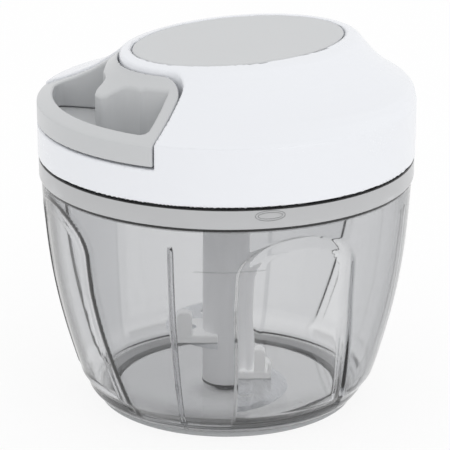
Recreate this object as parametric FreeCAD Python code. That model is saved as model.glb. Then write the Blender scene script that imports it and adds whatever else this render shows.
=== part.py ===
"""Pull-cord food chopper: a clear bowl, a blade spindle on a steel pin, and a lid that holds the cord drive.

Millimetres. The origin is the centre of the bowl's base, +Z is up, and the handle pulls towards -Y.
"""
import FreeCAD, Part
import math
import os

V = FreeCAD.Vector
UP = V(0, 0, 1)

# ------------------------------------------------------------------ bowl
LID_R = 66.0  # outer radius of the lid, the widest place of the chopper
BAND_STEP = 0.2  # how far the bowl's band stands inside the lid
BAND_H = 6.9  # height of the plain band under the rim
BAND_EDGE = 0.7  # how far the wall steps in below the band
RIM_Z = 89.3  # height of the bowl's rim
WALL_T = 2.2  # thickness of the bowl's wall
RIM_T = 3.0  # thickness of the band
HEEL_R = 48.0  # radius of the bowl where it meets the foot ring
KNEE_R = 51.2  # radius where the rounded heel becomes the wall
KNEE_Z = 8.0
WALL_BULGE = 2.56  # how far the wall bows out from its chord
FLOOR_Z = 2.2  # top of the bowl's floor
FLOOR_T = 1.6
FLOOR_FILLET = 9.5  # inner radius between floor and wall
FOOT_R = 46.2  # outer radius of the foot ring
FOOT_H = 2.5
PAN_R = 45.2  # radius of the shallow pan that the foot ring goes round, at its top
PAN_LOW_R = 40.5
FOOT_LIP = 1.5  # how far the foot ring reaches in under the pan
ARCH_HALF = 22.2  # half the width of an arched panel
ARCH_MID_DEG = -5.2  # where the first of the four panels stands
ARCH_TOP_Z = 78.4
ARCH_RISE = 14.0  # height of the panel's round top
ARCH_DEPTH = 0.6
RIB_MID_DEG = -45.0
RIB_TOP_Z = 74.5
RIB_W = 1.7
RIB_DEPTH = 1.2
QUARTERS = 4  # panels, ribs and bayonet lugs all come in fours
BOSS_R = 4.0  # boss in the floor that holds the steel pin
BOSS_H = 5.0
PIN_R = 2.0
PIN_TOP_Z = 22.0

# ------------------------------------------------------------------ blade unit
SHAFT_R = 8.6
SHAFT_FOOT_Z = 3.0
SHAFT_TOP_Z = 88.0
SHAFT_TAPER = 0.4  # how much slimmer the shaft is at its top
BUSH_R = 4.4
BUSH_CAP = 2.5
RUN_GAP = 0.05  # radial clearance of a running fit
BAR_DEG = 62.0  # direction of the cross bar's lower arm
BAR_Z = 6.2
BAR_T = 2.9
BAR_STEP = 13.9  # how far the upper arm stands above the lower one
BAR_SIDE = 0.2  # how far the arms are wider than the shaft, on each side
BAR_ROOT = 3.0  # the arms start this far from the axis
LOWER_REACH = 16.3
UPPER_REACH = 18.3
BAR_CORNER_R = 8.0
BAR_WEB = 1.6  # shaft wall left round the bar's core
BAR_LIP_H = 3.1
BAR_LIP_T = 1.4
BAR_LIP_L = 2.4
LOWER_BLOCK_AT = 11.3
UPPER_BLOCK_AT = 14.9
BLOCK_L = 5.6
BLOCK_W = 4.6
BLOCK_H = 8.6
BLOCK_CORNER_R = 2.2
BLADE_T = 0.8
BLADE_R = 25.3  # radius of the cutting edge
BLADE_OFFSET = 12.3  # how far that edge's centre stands from the shaft
BLADE_SWEEP_DEG = 105.5  # the edge's centre trails the arm by this angle
BLADE_HOLE_AT = 23.6
BLADE_HOLE_DEG = 72.3
BLADE_HOLE_R = 2.6
RIVET_R = 1.2
RIVET_AT = 12.5
DOG_R = 6.2
DOG_BORE_R = 1.6
DOG_H = 4.0
DOG_HALF_DEG = 24.0
DOG_FREE_DEG = 22.0  # lost motion between the drive dogs, more than the lid turns to unlock
DOG_GAP = 0.3

# ------------------------------------------------------------------ lid
LID_GAP = 0.5  # gap between the bowl's rim and the lid's edge
LID_WALL_H = 20.0  # height of the lid's upright wall
LID_T = 2.2
TOP_H = 39.0  # height of the oval top above the lid's edge, at its middle
TOP_A = 40.5  # half length of the oval top, along the pull
TOP_B = 31.7  # half width of the oval top
TOP_BACK = 4.7  # how far the oval top stands back from the middle
TOP_TILT_DEG = 2.2  # the oval top leans down towards the handle
PAD_BORDER = 1.7  # white border round the pad
PAD_T = 1.2
PAD_GAP = 0.15
PAD_PEG_R = 1.6
PAD_PEG_H = 3.6
# share of the way in from the wall to the oval top, and height up the shoulder
SHOULDER = [(0.0, 0.0), (0.035, 0.165), (0.11, 0.255), (0.22, 0.31), (0.37, 0.405), (0.545, 0.555),
            (0.72, 0.765), (0.84, 0.93), (0.93, 0.99), (1.0, 1.0)]

# ------------------------------------------------------------------ handle and its pocket
POCKET_HALF_DEG = 41.0
POCKET_FLOOR_H = 11.6  # height of the pocket's floor above the lid's edge
POCKET_T = 1.6
POCKET_BACK = 2.4  # the pocket's back wall follows the oval top, this far outside it
LINER_T = 1.1
LINER_INSET = 4.0  # how far the liner stops short of the lid's wall
HANDLE_GAP = 0.35
HANDLE_RISE = 0.2  # gap between the liner and the handle
BAR_DEPTH = 5.6  # front grip, from outside to inside
ARM_T = 4.6
BACK_T = 3.4  # thickness of the handle's back plate
BOSS_REACH = 7.9  # how far the cord boss stands out from the back plate
NOSE_HALF_W = 4.6
FLARE_R = 9.5
KNOT_R = 2.7
KNOT_GAP = 0.2
CORD_R = 1.0
CORD_GAP = 0.3
CORD_H = 21.0  # height of the cord above the lid's edge
EYELET_R = 3.0
EYELET_FLANGE_T = 0.8

# ------------------------------------------------------------------ lid base, seal and bayonet
BASE_H = 1.0  # underside of the lid base above the lid's edge
BASE_T = 2.4
BASE_GAP = 0.15
PLUG_ROOM = 2.2  # room for the seal between the plug and the rim
PLUG_T = 1.8
PLUG_DEPTH = 9.6
SEAL_T = 1.1  # thickness of the seal's flange, between the rim and the lid base
SEAL_H = 3.2  # height of the seal's ring inside the rim
SEAL_DROP = 0.7  # top of that ring below the rim
SEAL_GAP = 0.25
LUG_HALF_DEG = 7.0
LUG_MID_DEG = 45.0
LUG_T = 1.5
LUG_REACH = 1.4
LUG_GAP = 0.6
HUB_R = 13.2  # bearing collar in the lid base
HUB_DEPTH = 7.0

# ------------------------------------------------------------------ cord drive
DRIVER_R = 10.4
DRIVER_FLANGE_R = 15.5
DRIVER_FLANGE_T = 1.6
SOCKET_R = 8.8
SOCKET_GAP = 0.3
DRIVE_GAP = 0.3  # end gap between parts that turn against each other
CLUTCH_IN_R = 9.0
CLUTCH_T = 3.0
CLUTCH_H = 3.4
ROLLERS = 3
SPRING_CUP_R = 29.2
CUP_T = 1.4
CUP_WALL_H = 6.6
SPRING_R = 26.0
SPRING_T = 0.35
SPRING_TURNS = 9
ARBOR_R = 6.0
AXLE_R = 3.0
DRUM_R = 19.0
COIL_T = 2.4
SPOOL_FLANGE_R = 25.5
SPOOL_H = 8.0
SPOOL_WEB = 1.4
COVER_R = 36.0
COVER_T = 2.0
POST_R = 3.0
POST_AT = 32.6
POST_GAP = 0.15
POST_DEGS = [30.0, 90.0, 150.0, 210.0, 330.0]
SCREW_R = 1.4
SCREW_HEAD_R = 2.7
SCREW_HEAD_H = 1.8
SCREW_L = 8.0
BASE_SCREW_INSET = 6.8  # from the plug's inner wall to the screws
BASE_SCREW_DEGS = [30.0, 90.0, 150.0, 210.0, 270.0, 330.0]
BASE_POST_R = 3.4

# ------------------------------------------------------------------ worked out from the sizes above
LID_Z = RIM_Z + LID_GAP
BAND_R = LID_R - BAND_STEP
WALL_TOP_Z = RIM_Z - BAND_H
WALL_TOP_R = BAND_R - BAND_EDGE
RIM_IN_R = BAND_R - RIM_T
PLUG_R = RIM_IN_R - PLUG_ROOM
BASE_SCREW_AT = PLUG_R - PLUG_T - BASE_SCREW_INSET
LINER_R = LID_R - LINER_INSET
TOP_Z = LID_Z + TOP_H
SHOULDER_H = TOP_H - LID_WALL_H
POCKET_Z = LID_Z + POCKET_FLOOR_H
LINER_Z = POCKET_Z + LINER_T
HANDLE_Z = LINER_Z + HANDLE_RISE
CORD_Z = LID_Z + CORD_H
TALL = 4 * TOP_H  # longer than anything it cuts


# ------------------------------------------------------------------ helpers
def cylinder(radius, low, high, x=0.0, y=0.0):
    return Part.makeCylinder(radius, high - low, V(x, y, low))


def ring(outer, inner, low, high, x=0.0, y=0.0):
    margin = high - low
    return cylinder(outer, low, high, x, y).cut(cylinder(inner, low - margin, high + margin, x, y))


def box(size, centre):
    corner = V(centre[0] - size[0] / 2, centre[1] - size[1] / 2, centre[2] - size[2] / 2)
    return Part.makeBox(size[0], size[1], size[2], corner)


def polar(radius, degrees, z=0.0):
    return V(radius * math.cos(math.radians(degrees)), radius * math.sin(math.radians(degrees)), z)


def turned(shape, degrees):
    copy = shape.copy()
    copy.rotate(V(0, 0, 0), UP, degrees)
    return copy


def sector(outer, inner, middle, half, low, high):
    """Part of a ring, `half` degrees each side of the direction `middle`."""
    wedge = Part.makeCylinder(outer, high - low, V(0, 0, low), UP, 2 * half)
    wedge = turned(wedge, middle - half)
    if inner > 0:
        wedge = wedge.cut(cylinder(inner, low - 1, high + 1))
    return wedge


def around(shape, count):
    step = 360.0 / count
    return [turned(shape, step * index) for index in range(count)]


def fuse(first, others):
    others = list(others)
    if not others:
        return first
    return first.multiFuse(others).removeSplitter()


def line(start, end):
    return Part.LineSegment(start, end).toShape()


def arc(start, middle, end):
    return Part.Arc(start, middle, end).toShape()


def revolved(edges):
    return Part.Face(Part.Wire(edges)).revolve(V(0, 0, 0), UP, 360)


def rz(radius, z):
    return V(radius, 0, z)


def save(name, shape):
    """Write one piece, or one set of like pieces, as parts/NAME.step."""
    if not shape.isValid():
        raise ValueError(name + " is not valid")
    print(name, len(shape.Solids), "solid(s)", round(shape.Volume / 1000, 3), "cm3")
    shape.exportStep("parts/" + name + ".step")


# ------------------------------------------------------------------ bowl
def wall_radius(z):
    """Outer radius of the bowl's bowed wall at a height."""
    share = (z - KNEE_Z) / (WALL_TOP_Z - KNEE_Z)
    return KNEE_R + share * (WALL_TOP_R - KNEE_R) + 4 * WALL_BULGE * share * (1 - share)


def wall_lean(z):
    """How far the wall leans outwards at a height, as an angle."""
    share = (z - KNEE_Z) / (WALL_TOP_Z - KNEE_Z)
    spread = WALL_TOP_R - KNEE_R + 4 * WALL_BULGE * (1 - 2 * share)
    return math.atan(spread / (WALL_TOP_Z - KNEE_Z))


def bowl_blank(inset):
    """The bowl's outside as a full body, moved in by `inset`."""
    middle_z = (KNEE_Z + WALL_TOP_Z) / 2
    heel = rz(HEEL_R - inset, FOOT_H)
    knee = rz(KNEE_R - inset, KNEE_Z)
    heel_middle = rz((HEEL_R + KNEE_R) / 2 + 0.6 - inset, (FOOT_H + KNEE_Z) / 2)
    wall_top = rz(WALL_TOP_R - inset, WALL_TOP_Z)
    edges = [line(rz(0, FOOT_H), heel), arc(heel, heel_middle, knee),
             arc(knee, rz(wall_radius(middle_z) - inset, middle_z), wall_top),
             line(wall_top, rz(0, WALL_TOP_Z)), line(rz(0, WALL_TOP_Z), rz(0, FOOT_H))]
    return revolved(edges)


def bowl_inside():
    """The space inside the bowl, from the rounded floor to above the rim."""
    lean = wall_lean(KNEE_Z)
    low_z = FLOOR_Z + FLOOR_FILLET * (1 - math.sin(lean))
    low_r = wall_radius(low_z) - WALL_T
    flat_r = low_r - FLOOR_FILLET * math.cos(lean)
    bend = (math.pi / 2 - lean) / 2
    bend_middle = rz(flat_r + FLOOR_FILLET * math.sin(bend), FLOOR_Z + FLOOR_FILLET * (1 - math.cos(bend)))
    middle_z = (low_z + WALL_TOP_Z) / 2
    above = RIM_Z + RIM_T
    wall_top = rz(RIM_IN_R, WALL_TOP_Z)
    floor_edge = rz(flat_r, FLOOR_Z)
    edges = [line(rz(0, FLOOR_Z), floor_edge), arc(floor_edge, bend_middle, rz(low_r, low_z)),
             arc(rz(low_r, low_z), rz(wall_radius(middle_z) - WALL_T, middle_z), wall_top),
             line(wall_top, rz(RIM_IN_R, above)), line(rz(RIM_IN_R, above), rz(0, above)),
             line(rz(0, above), rz(0, FLOOR_Z))]
    return revolved(edges)


def arch_block():
    """A round-topped block across the wall, on +X."""
    half = ARCH_HALF
    spring = ARCH_TOP_Z - ARCH_RISE
    near = HEEL_R / 2
    left = line(V(near, half, 0), V(near, half, spring))
    crown = arc(V(near, half, spring), V(near, 0, ARCH_TOP_Z), V(near, -half, spring))
    right = line(V(near, -half, spring), V(near, -half, 0))
    foot = line(V(near, -half, 0), V(near, half, 0))
    return Part.Face(Part.Wire([left, crown, right, foot])).extrude(V(LID_R, 0, 0))


def arch_panels():
    """Four shallow recesses in the outside of the wall."""
    skin = bowl_blank(0.0).cut(bowl_blank(ARCH_DEPTH))
    return around(skin.common(turned(arch_block(), ARCH_MID_DEG)), QUARTERS)


def wall_ribs():
    """Four slim upright ribs on the inside of the wall, between the panels."""
    rib = box((LID_R, RIB_W, RIB_TOP_Z - FLOOR_Z), (LID_R / 2, 0, (RIB_TOP_Z + FLOOR_Z) / 2))
    hollow = bowl_blank(WALL_T + RIB_DEPTH)
    hollow.translate(V(0, 0, FLOOR_Z))
    rib = rib.common(bowl_inside()).cut(hollow).cut(cylinder(HEEL_R / 2, 0, RIM_Z))
    return around(turned(rib, RIB_MID_DEG), QUARTERS)


def bayonet_lugs():
    low = lug_top_z() + LUG_GAP
    lug = sector(RIM_IN_R + RIM_T / 2, RIM_IN_R - LUG_REACH, LUG_MID_DEG, LUG_HALF_DEG, low, low + LUG_T)
    return around(lug, QUARTERS)


def bowl():
    body = bowl_blank(0.0).fuse(cylinder(BAND_R, WALL_TOP_Z, RIM_Z)).fuse(pan())
    body = body.cut(bowl_inside())
    for panel in arch_panels():
        body = body.cut(panel)
    pin_boss = cylinder(BOSS_R, FLOOR_Z - FLOOR_T, FLOOR_Z + BOSS_H)
    body = fuse(body, wall_ribs() + bayonet_lugs() + [pin_boss])
    return body.cut(cylinder(PIN_R, FLOOR_Z, PIN_TOP_Z))


def pan():
    """The dished middle of the bowl's underside."""
    low = FLOOR_Z - FLOOR_T
    return Part.makeCone(PAN_LOW_R, PAN_R, FOOT_H - low, V(0, 0, low))


def lug_top_z():
    """Top of the lid's bayonet lugs, at the foot of its plug."""
    return base_low_z() - PLUG_DEPTH + LUG_T


def base_ring():
    foot = ring(FOOT_R, PAN_LOW_R - FOOT_LIP, 0.0, FOOT_H).cut(pan())
    return foot.cut(cylinder(PAN_LOW_R, FOOT_H / 2, FOOT_H))


def pivot_pin():
    shank = cylinder(PIN_R, FLOOR_Z, PIN_TOP_Z)
    return shank.makeChamfer(0.4, [edge for edge in shank.Edges if edge.BoundBox.ZMin > PIN_TOP_Z - 0.1])


# ------------------------------------------------------------------ blade unit
def rivet(direction, low, high):
    spot = polar(RIVET_AT, direction)
    return cylinder(RIVET_R, low, high, spot.x, spot.y)


def blade(direction, z):
    """A steel blade with a round cutting edge, under the arm that points in `direction`."""
    edge_at = polar(BLADE_OFFSET, direction - BLADE_SWEEP_DEG)
    hole_at = polar(BLADE_HOLE_AT, direction - BLADE_HOLE_DEG)
    disc = cylinder(BLADE_R, z, z + BLADE_T, edge_at.x, edge_at.y)
    side = box((LID_R, 2 * LID_R, BLADE_T), (BAR_ROOT + LID_R / 2, 0, z + BLADE_T / 2))
    plate = disc.common(turned(side, direction))
    plate = plate.cut(cylinder(BLADE_HOLE_R, z - 1, z + 2, hole_at.x, hole_at.y))
    return plate.cut(cylinder(BUSH_R + RUN_GAP, z - 1, z + 2))


def bar_half_width():
    return SHAFT_R + BAR_SIDE


def bar_arm(low, reach, block_at, front):
    """One arm on +X, with its block and lip on the side `front` (1 or -1) and the other corner round."""
    half = bar_half_width()
    top = low + BAR_T
    plate = box((reach - BAR_ROOT, 2 * half, BAR_T), ((reach + BAR_ROOT) / 2, 0, low + BAR_T / 2))
    back = [edge for edge in plate.Edges
            if edge.BoundBox.XMin > reach - 0.1 and edge.BoundBox.YMax * front < 0.1 and edge.BoundBox.ZLength > BAR_T / 2
            and edge.BoundBox.YMin * front < 0.1]
    plate = plate.makeFillet(BAR_CORNER_R, back)
    lip = box((BAR_LIP_T, BAR_LIP_L, BAR_LIP_H), (reach - BAR_LIP_T / 2, front * (half - BAR_LIP_L / 2), top + BAR_LIP_H / 2))
    block = box((BLOCK_L, BLOCK_W, BLOCK_H), (block_at, front * (half - BLOCK_W / 2), top + BLOCK_H / 2))
    crest = [edge for edge in block.Edges
             if edge.BoundBox.ZMin > top + BLOCK_H - 0.1 and edge.BoundBox.XLength < 0.1]
    return fuse(plate, [lip, block.makeFillet(BLOCK_CORNER_R, crest)])


def cross_bar():
    """Two arms at different heights on a core inside the shaft, each with a lip and an upright block."""
    top = BAR_Z + BAR_STEP + BAR_T
    lower = bar_arm(BAR_Z, LOWER_REACH, LOWER_BLOCK_AT, -1)
    upper = turned(bar_arm(BAR_Z + BAR_STEP, UPPER_REACH, UPPER_BLOCK_AT, 1), 180.0)
    bar = turned(fuse(cylinder(SHAFT_R - BAR_WEB, BAR_Z, top), [lower, upper]), BAR_DEG)
    for direction in (BAR_DEG, BAR_DEG + 180.0):
        bar = bar.cut(rivet(direction, 0, top + 1))
    return bar.cut(cylinder(BUSH_R + RUN_GAP, 0, top + 1)).cut(upper_blade())


def blade_spindle():
    shaft = Part.makeCone(SHAFT_R, SHAFT_R - SHAFT_TAPER, SHAFT_TOP_Z - SHAFT_FOOT_Z, V(0, 0, SHAFT_FOOT_Z))
    shaft = shaft.cut(cylinder(BUSH_R + RUN_GAP, 0, bush_top_z()))
    dog = sector(DOG_R, DOG_BORE_R, 0.0, DOG_HALF_DEG, SHAFT_TOP_Z - 1, SHAFT_TOP_Z + DOG_H)
    shaft = fuse(shaft, [dog, turned(dog, 180.0)])
    return shaft.cut(cross_bar()).cut(lower_blade()).cut(upper_blade())


def lower_blade():
    return blade(BAR_DEG, BAR_Z - BLADE_T)


def upper_blade():
    return blade(BAR_DEG + 180.0, BAR_Z + BAR_STEP - BLADE_T)


def blade_rivets():
    lower = rivet(BAR_DEG, BAR_Z, BAR_Z + BAR_T)
    upper = rivet(BAR_DEG + 180.0, BAR_Z + BAR_STEP, BAR_Z + BAR_STEP + BAR_T)
    return Part.makeCompound([lower, upper])


def bush_top_z():
    """The bush's closed end rides on the tip of the pin."""
    return PIN_TOP_Z + BUSH_CAP


def foot_bush():
    bush = cylinder(BUSH_R, FLOOR_Z + BOSS_H + SOCKET_GAP, bush_top_z() - RUN_GAP)
    return bush.cut(cylinder(PIN_R + RUN_GAP, 0, PIN_TOP_Z + RUN_GAP))


# ------------------------------------------------------------------ lid
def oval(share, height_share, inset=0.0):
    """One cross-section of the lid's outside, from the round wall (0) to the oval top (1)."""
    half_length = LID_R + share * (TOP_A - LID_R) - inset
    half_width = LID_R + share * (TOP_B - LID_R) - inset
    tilt = math.radians(TOP_TILT_DEG) * share
    centre = V(0, share * TOP_BACK, LID_Z + LID_WALL_H + height_share * SHOULDER_H)
    along = V(0, math.cos(tilt), math.sin(tilt))
    across = V(-1, 0, 0)
    ellipse = Part.Ellipse(centre + along * half_length, centre + across * half_width, centre)
    return Part.Wire([ellipse.toShape()])


def lid_body(inset, drop):
    """The lid's outer form as a full body, moved in by `inset` and down by `drop`."""
    sections = [oval(share, height, inset) for share, height in SHOULDER]
    shoulder = Part.makeLoft(sections, True, False)
    wall = cylinder(LID_R - inset, LID_Z, LID_Z + LID_WALL_H)
    shoulder.translate(V(0, 0, -drop))
    if drop > 0:
        wall = cylinder(LID_R - inset, LID_Z - drop, LID_Z + LID_WALL_H - drop)
    return wall.fuse(shoulder)


def top_oval(outset, low, high):
    """An upright oval column round the top's axis, `outset` wider than the oval top."""
    centre = V(0, TOP_BACK, low)
    half_length = TOP_A * math.cos(math.radians(TOP_TILT_DEG)) + outset
    ellipse = Part.Ellipse(centre + V(0, half_length, 0), centre + V(-(TOP_B + outset), 0, 0), centre)
    return Part.Face(Part.Wire([ellipse.toShape()])).extrude(V(0, 0, high - low))


def pocket(outset, low):
    """The handle's pocket: a wedge outside the oval top, `outset` larger on its sides and back."""
    wedge = Part.makeCylinder(2 * LID_R, TALL, V(0, 0, low), UP, 2 * POCKET_HALF_DEG)
    wedge = turned(wedge, -90.0 - POCKET_HALF_DEG)
    wedge.translate(V(0, outset / math.sin(math.radians(POCKET_HALF_DEG)), 0))
    return wedge.cut(top_oval(POCKET_BACK - outset, low - 1, low + TALL + 1))


def pad_plate(gap, low_depth):
    """The oval inlay in the top, down to `low_depth` below the surface."""
    half_length = TOP_A - PAD_BORDER - gap
    half_width = TOP_B - PAD_BORDER - gap
    tilt = math.radians(TOP_TILT_DEG)
    normal = V(0, -math.sin(tilt), math.cos(tilt))
    centre = V(0, TOP_BACK, TOP_Z) - normal * low_depth
    along = V(0, math.cos(tilt), math.sin(tilt))
    ellipse = Part.Ellipse(centre + along * half_length, centre + V(-half_width, 0, 0), centre)
    return Part.Face(Part.Wire([ellipse.toShape()])).extrude(normal * low_depth)


def pad_pegs(radius):
    tilt = math.radians(TOP_TILT_DEG)
    normal = V(0, -math.sin(tilt), math.cos(tilt))
    along = V(0, math.cos(tilt), math.sin(tilt))
    foot = V(0, TOP_BACK, TOP_Z) - normal * (PAD_T + PAD_PEG_H)
    pegs = []
    for x in (-TOP_B / 2, TOP_B / 2):
        for y in (-TOP_A / 2, TOP_A / 2):
            spot = foot + V(x, 0, 0) + along * y
            pegs.append(Part.makeCylinder(radius, PAD_PEG_H + PAD_T / 2, spot, normal))
    return pegs


def post_spots():
    return [polar(POST_AT, degrees) for degrees in POST_DEGS]


def base_screw_spots():
    return [polar(BASE_SCREW_AT, degrees) for degrees in BASE_SCREW_DEGS]


def lid_shell():
    outside = lid_body(0.0, 0.0)
    inside = lid_body(LID_T, LID_T + PAD_T)
    shell = outside.cut(inside)
    nook = outside.common(pocket(POCKET_T, POCKET_Z - POCKET_T))
    liner_seat = pocket(0.0, POCKET_Z).common(cylinder(LINER_R + PAD_GAP, POCKET_Z, LINER_Z))
    shell = shell.fuse(nook).cut(pocket(0.0, LINER_Z)).cut(liner_seat)
    shell = shell.cut(pad_plate(0.0, PAD_T))
    room = outside.cut(pocket(0.0, POCKET_Z - POCKET_T))
    posts = [cylinder(BASE_POST_R, base_top_z(), TOP_Z, spot.x, spot.y) for spot in base_screw_spots()]
    shell = fuse(shell, [post.common(room) for post in posts])
    for peg in pad_pegs(PAD_PEG_R + PAD_GAP):
        shell = shell.cut(peg)
    for spot in base_screw_spots():
        shell = shell.cut(cylinder(SCREW_R, base_top_z(), screw_tip_z(), spot.x, spot.y))
    back_y = TOP_BACK - TOP_A - POCKET_BACK
    bore = Part.makeCylinder(EYELET_R, 4 * POCKET_T, V(0, back_y - POCKET_T, CORD_Z), V(0, 1, 0))
    return shell.cut(bore)


def base_low_z():
    return LID_Z + BASE_H


def base_top_z():
    return base_low_z() + BASE_T


def screw_tip_z():
    return base_low_z() + SCREW_L


def top_pad():
    return fuse(pad_plate(PAD_GAP, PAD_T), pad_pegs(PAD_PEG_R))


def dock_liner():
    plate = pocket(-HANDLE_GAP, POCKET_Z).common(cylinder(LINER_R, POCKET_Z, LINER_Z))
    return plate


# ------------------------------------------------------------------ handle
def pull_handle():
    low = HANDLE_Z - 1
    high = LID_Z + TALL
    block = lid_body(0.0, 0.0).common(pocket(-HANDLE_GAP, HANDLE_Z))
    opening = pocket(-HANDLE_GAP - ARM_T, low).common(cylinder(LID_R - BAR_DEPTH, low, high))
    opening = opening.cut(top_oval(POCKET_BACK + HANDLE_GAP + BACK_T, low - 1, high + 1))
    handle = block.cut(opening.cut(cord_boss()))
    cavity_y = handle_back_y() - BACK_T - KNOT_R
    cavity = cylinder(KNOT_R + KNOT_GAP, HANDLE_Z - 1, CORD_Z + KNOT_R + KNOT_GAP, 0.0, cavity_y)
    lead = Part.makeCylinder(CORD_R + CORD_GAP, BACK_T + KNOT_R + 2, V(0, cavity_y, CORD_Z), V(0, 1, 0))
    return handle.cut(cavity).cut(lead)


def handle_back_y():
    """The back of the handle on the middle line."""
    return TOP_BACK - TOP_A * math.cos(math.radians(TOP_TILT_DEG)) - POCKET_BACK - HANDLE_GAP


def cord_boss():
    """The flared boss that stands out from the back plate: a blunt nose between two hollow curves."""
    root_y = handle_back_y() - BACK_T
    nose_y = root_y - BOSS_REACH
    high = TALL
    low = HANDLE_Z - 2
    wide = FLARE_R + NOSE_HALF_W
    block = box((2 * wide, BOSS_REACH + BACK_T, high), (0, (root_y + BACK_T + nose_y) / 2, low + high / 2))
    for side in (-1, 1):
        block = block.cut(cylinder(FLARE_R, low - 1, low + high + 1, side * wide, nose_y))
    return block


def cord_knot():
    y = handle_back_y() - BACK_T - KNOT_R
    return Part.makeSphere(KNOT_R, V(0, y, CORD_Z))


# ------------------------------------------------------------------ cord
def pocket_wall_y():
    """The pocket's back wall on the middle line."""
    return handle_back_y() + HANDLE_GAP


def pull_cord_lead():
    """The stretch of cord between the lid and the knot, which the handle draws out."""
    start = V(0, pocket_wall_y(), CORD_Z)
    end_y = handle_back_y() - BACK_T - KNOT_R
    tube = Part.makeCylinder(CORD_R, start.y - end_y, start, V(0, -1, 0))
    return tube.cut(cord_knot())


def inner_run():
    """The cord from the drum to the eyelet: its two ends, on the middle of the cord."""
    drum = DRUM_R + COIL_T / 2
    eye = V(0, pocket_wall_y() + 3 * POCKET_T + EYELET_FLANGE_T + CORD_R, CORD_Z)
    span = math.hypot(eye.x, eye.y)
    bend = math.acos(drum / span)
    touch = -math.pi / 2 - bend
    return V(drum * math.cos(touch), drum * math.sin(touch), CORD_Z), eye


def pull_cord_inner():
    start, eye = inner_run()
    way = eye - start
    slant = Part.makeCylinder(CORD_R, way.Length, start, way)
    straight = Part.makeCylinder(CORD_R, eye.y - pocket_wall_y(), eye, V(0, -1, 0))
    elbow = Part.makeSphere(CORD_R, eye)
    run = fuse(slant, [straight, elbow])
    return run.cut(cylinder(DRUM_R + COIL_T + DRIVE_GAP, CORD_Z - SPOOL_H, CORD_Z + SPOOL_H))


def pull_cord_wound():
    low = CORD_Z - SPOOL_H / 2 + SPOOL_WEB
    high = CORD_Z + SPOOL_H / 2 - SPOOL_WEB
    return ring(DRUM_R + COIL_T, DRUM_R, low, high)


def cord_eyelet():
    wall_y = pocket_wall_y()
    barrel = Part.makeCylinder(EYELET_R, 3 * POCKET_T, V(0, wall_y, CORD_Z), V(0, 1, 0))
    flange = Part.makeCylinder(EYELET_R, EYELET_FLANGE_T, V(0, wall_y + 3 * POCKET_T, CORD_Z), V(0, 1, 0))
    hole = Part.makeCylinder(CORD_R + CORD_GAP, 6 * POCKET_T, V(0, wall_y - POCKET_T, CORD_Z), V(0, 1, 0))
    return barrel.fuse(flange).cut(hole)


# ------------------------------------------------------------------ lid base and seal
def lid_base():
    """The lid's underside: a disc with the bearing collar below it and the drive's posts on it."""
    low = base_low_z()
    high = base_top_z()
    disc = cylinder(LID_R - LID_T - BASE_GAP, low, high)
    collar = cylinder(HUB_R, low - HUB_DEPTH, high)
    posts = [cylinder(POST_R, low, cover_low_z(), spot.x, spot.y) for spot in post_spots()]
    base = fuse(disc, [collar] + posts)
    base = base.cut(cylinder(DRIVER_R + RUN_GAP, low - 2 * HUB_DEPTH, high + 1))
    for spot in base_screw_spots():
        base = base.cut(cylinder(SCREW_R, low - 1, high + 1, spot.x, spot.y))
    for spot in post_spots():
        base = base.cut(cylinder(SCREW_R, cover_top_z() - SCREW_L, cover_top_z(), spot.x, spot.y))
    return base


def lid_plug():
    """The ring under the lid base that enters the bowl, with the lugs that lock under the bowl's own."""
    low = base_low_z() - PLUG_DEPTH
    plug = ring(PLUG_R, PLUG_R - PLUG_T, low, base_low_z())
    lug = sector(RIM_IN_R - 2 * SEAL_GAP, PLUG_R - PLUG_T / 2, LUG_MID_DEG, LUG_HALF_DEG, low, lug_top_z())
    return fuse(plug, around(lug, QUARTERS))


def lid_seal():
    """An L-shaped ring: its flange lies on the rim, its ring fills the gap between rim and plug."""
    flange = ring(LID_R - LID_T - SEAL_GAP, PLUG_R + RUN_GAP, RIM_Z + SEAL_GAP, RIM_Z + SEAL_GAP + SEAL_T)
    top = RIM_Z + SEAL_GAP + SEAL_T / 2
    lip = ring(RIM_IN_R - SEAL_GAP, PLUG_R + RUN_GAP, RIM_Z - SEAL_DROP - SEAL_H, top)
    return fuse(flange, [lip])


# ------------------------------------------------------------------ cord drive in the lid
def spool_low_z():
    return CORD_Z - SPOOL_H / 2


def spool_high_z():
    return CORD_Z + SPOOL_H / 2


def cover_low_z():
    return spool_high_z() + DRIVE_GAP


def cover_top_z():
    return cover_low_z() + COVER_T


def flange_z():
    """Underside of the driver's flange, which turns on the lid base."""
    return base_top_z() + DRIVE_GAP


def clutch_low_z():
    return flange_z() + DRIVER_FLANGE_T


def cup_low_z():
    return clutch_low_z() + CLUTCH_H + DRIVE_GAP


def drive_socket():
    """The driver: a socket over the shaft's top, two dogs inside it, and the clutch cup above."""
    shaft_top = SHAFT_TOP_Z + SOCKET_GAP
    well_top = SHAFT_TOP_Z + DOG_H + SOCKET_GAP
    body = cylinder(DRIVER_R, base_low_z() - HUB_DEPTH, clutch_low_z())
    flange = cylinder(DRIVER_FLANGE_R, flange_z(), clutch_low_z())
    cup = ring(CLUTCH_IN_R + CLUTCH_T, CLUTCH_IN_R, clutch_low_z(), clutch_low_z() + CLUTCH_H)
    body = fuse(body, [flange, cup])
    body = body.cut(cylinder(SOCKET_R, 0, shaft_top))
    body = body.cut(cylinder(DOG_R + DOG_GAP, 0, well_top))
    behind = -(2 * DOG_HALF_DEG + DOG_FREE_DEG)
    dog = sector(DOG_R + 2 * DOG_GAP, DOG_BORE_R, behind, DOG_HALF_DEG, shaft_top, well_top)
    return fuse(body, [dog, turned(dog, 180.0)])


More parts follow.
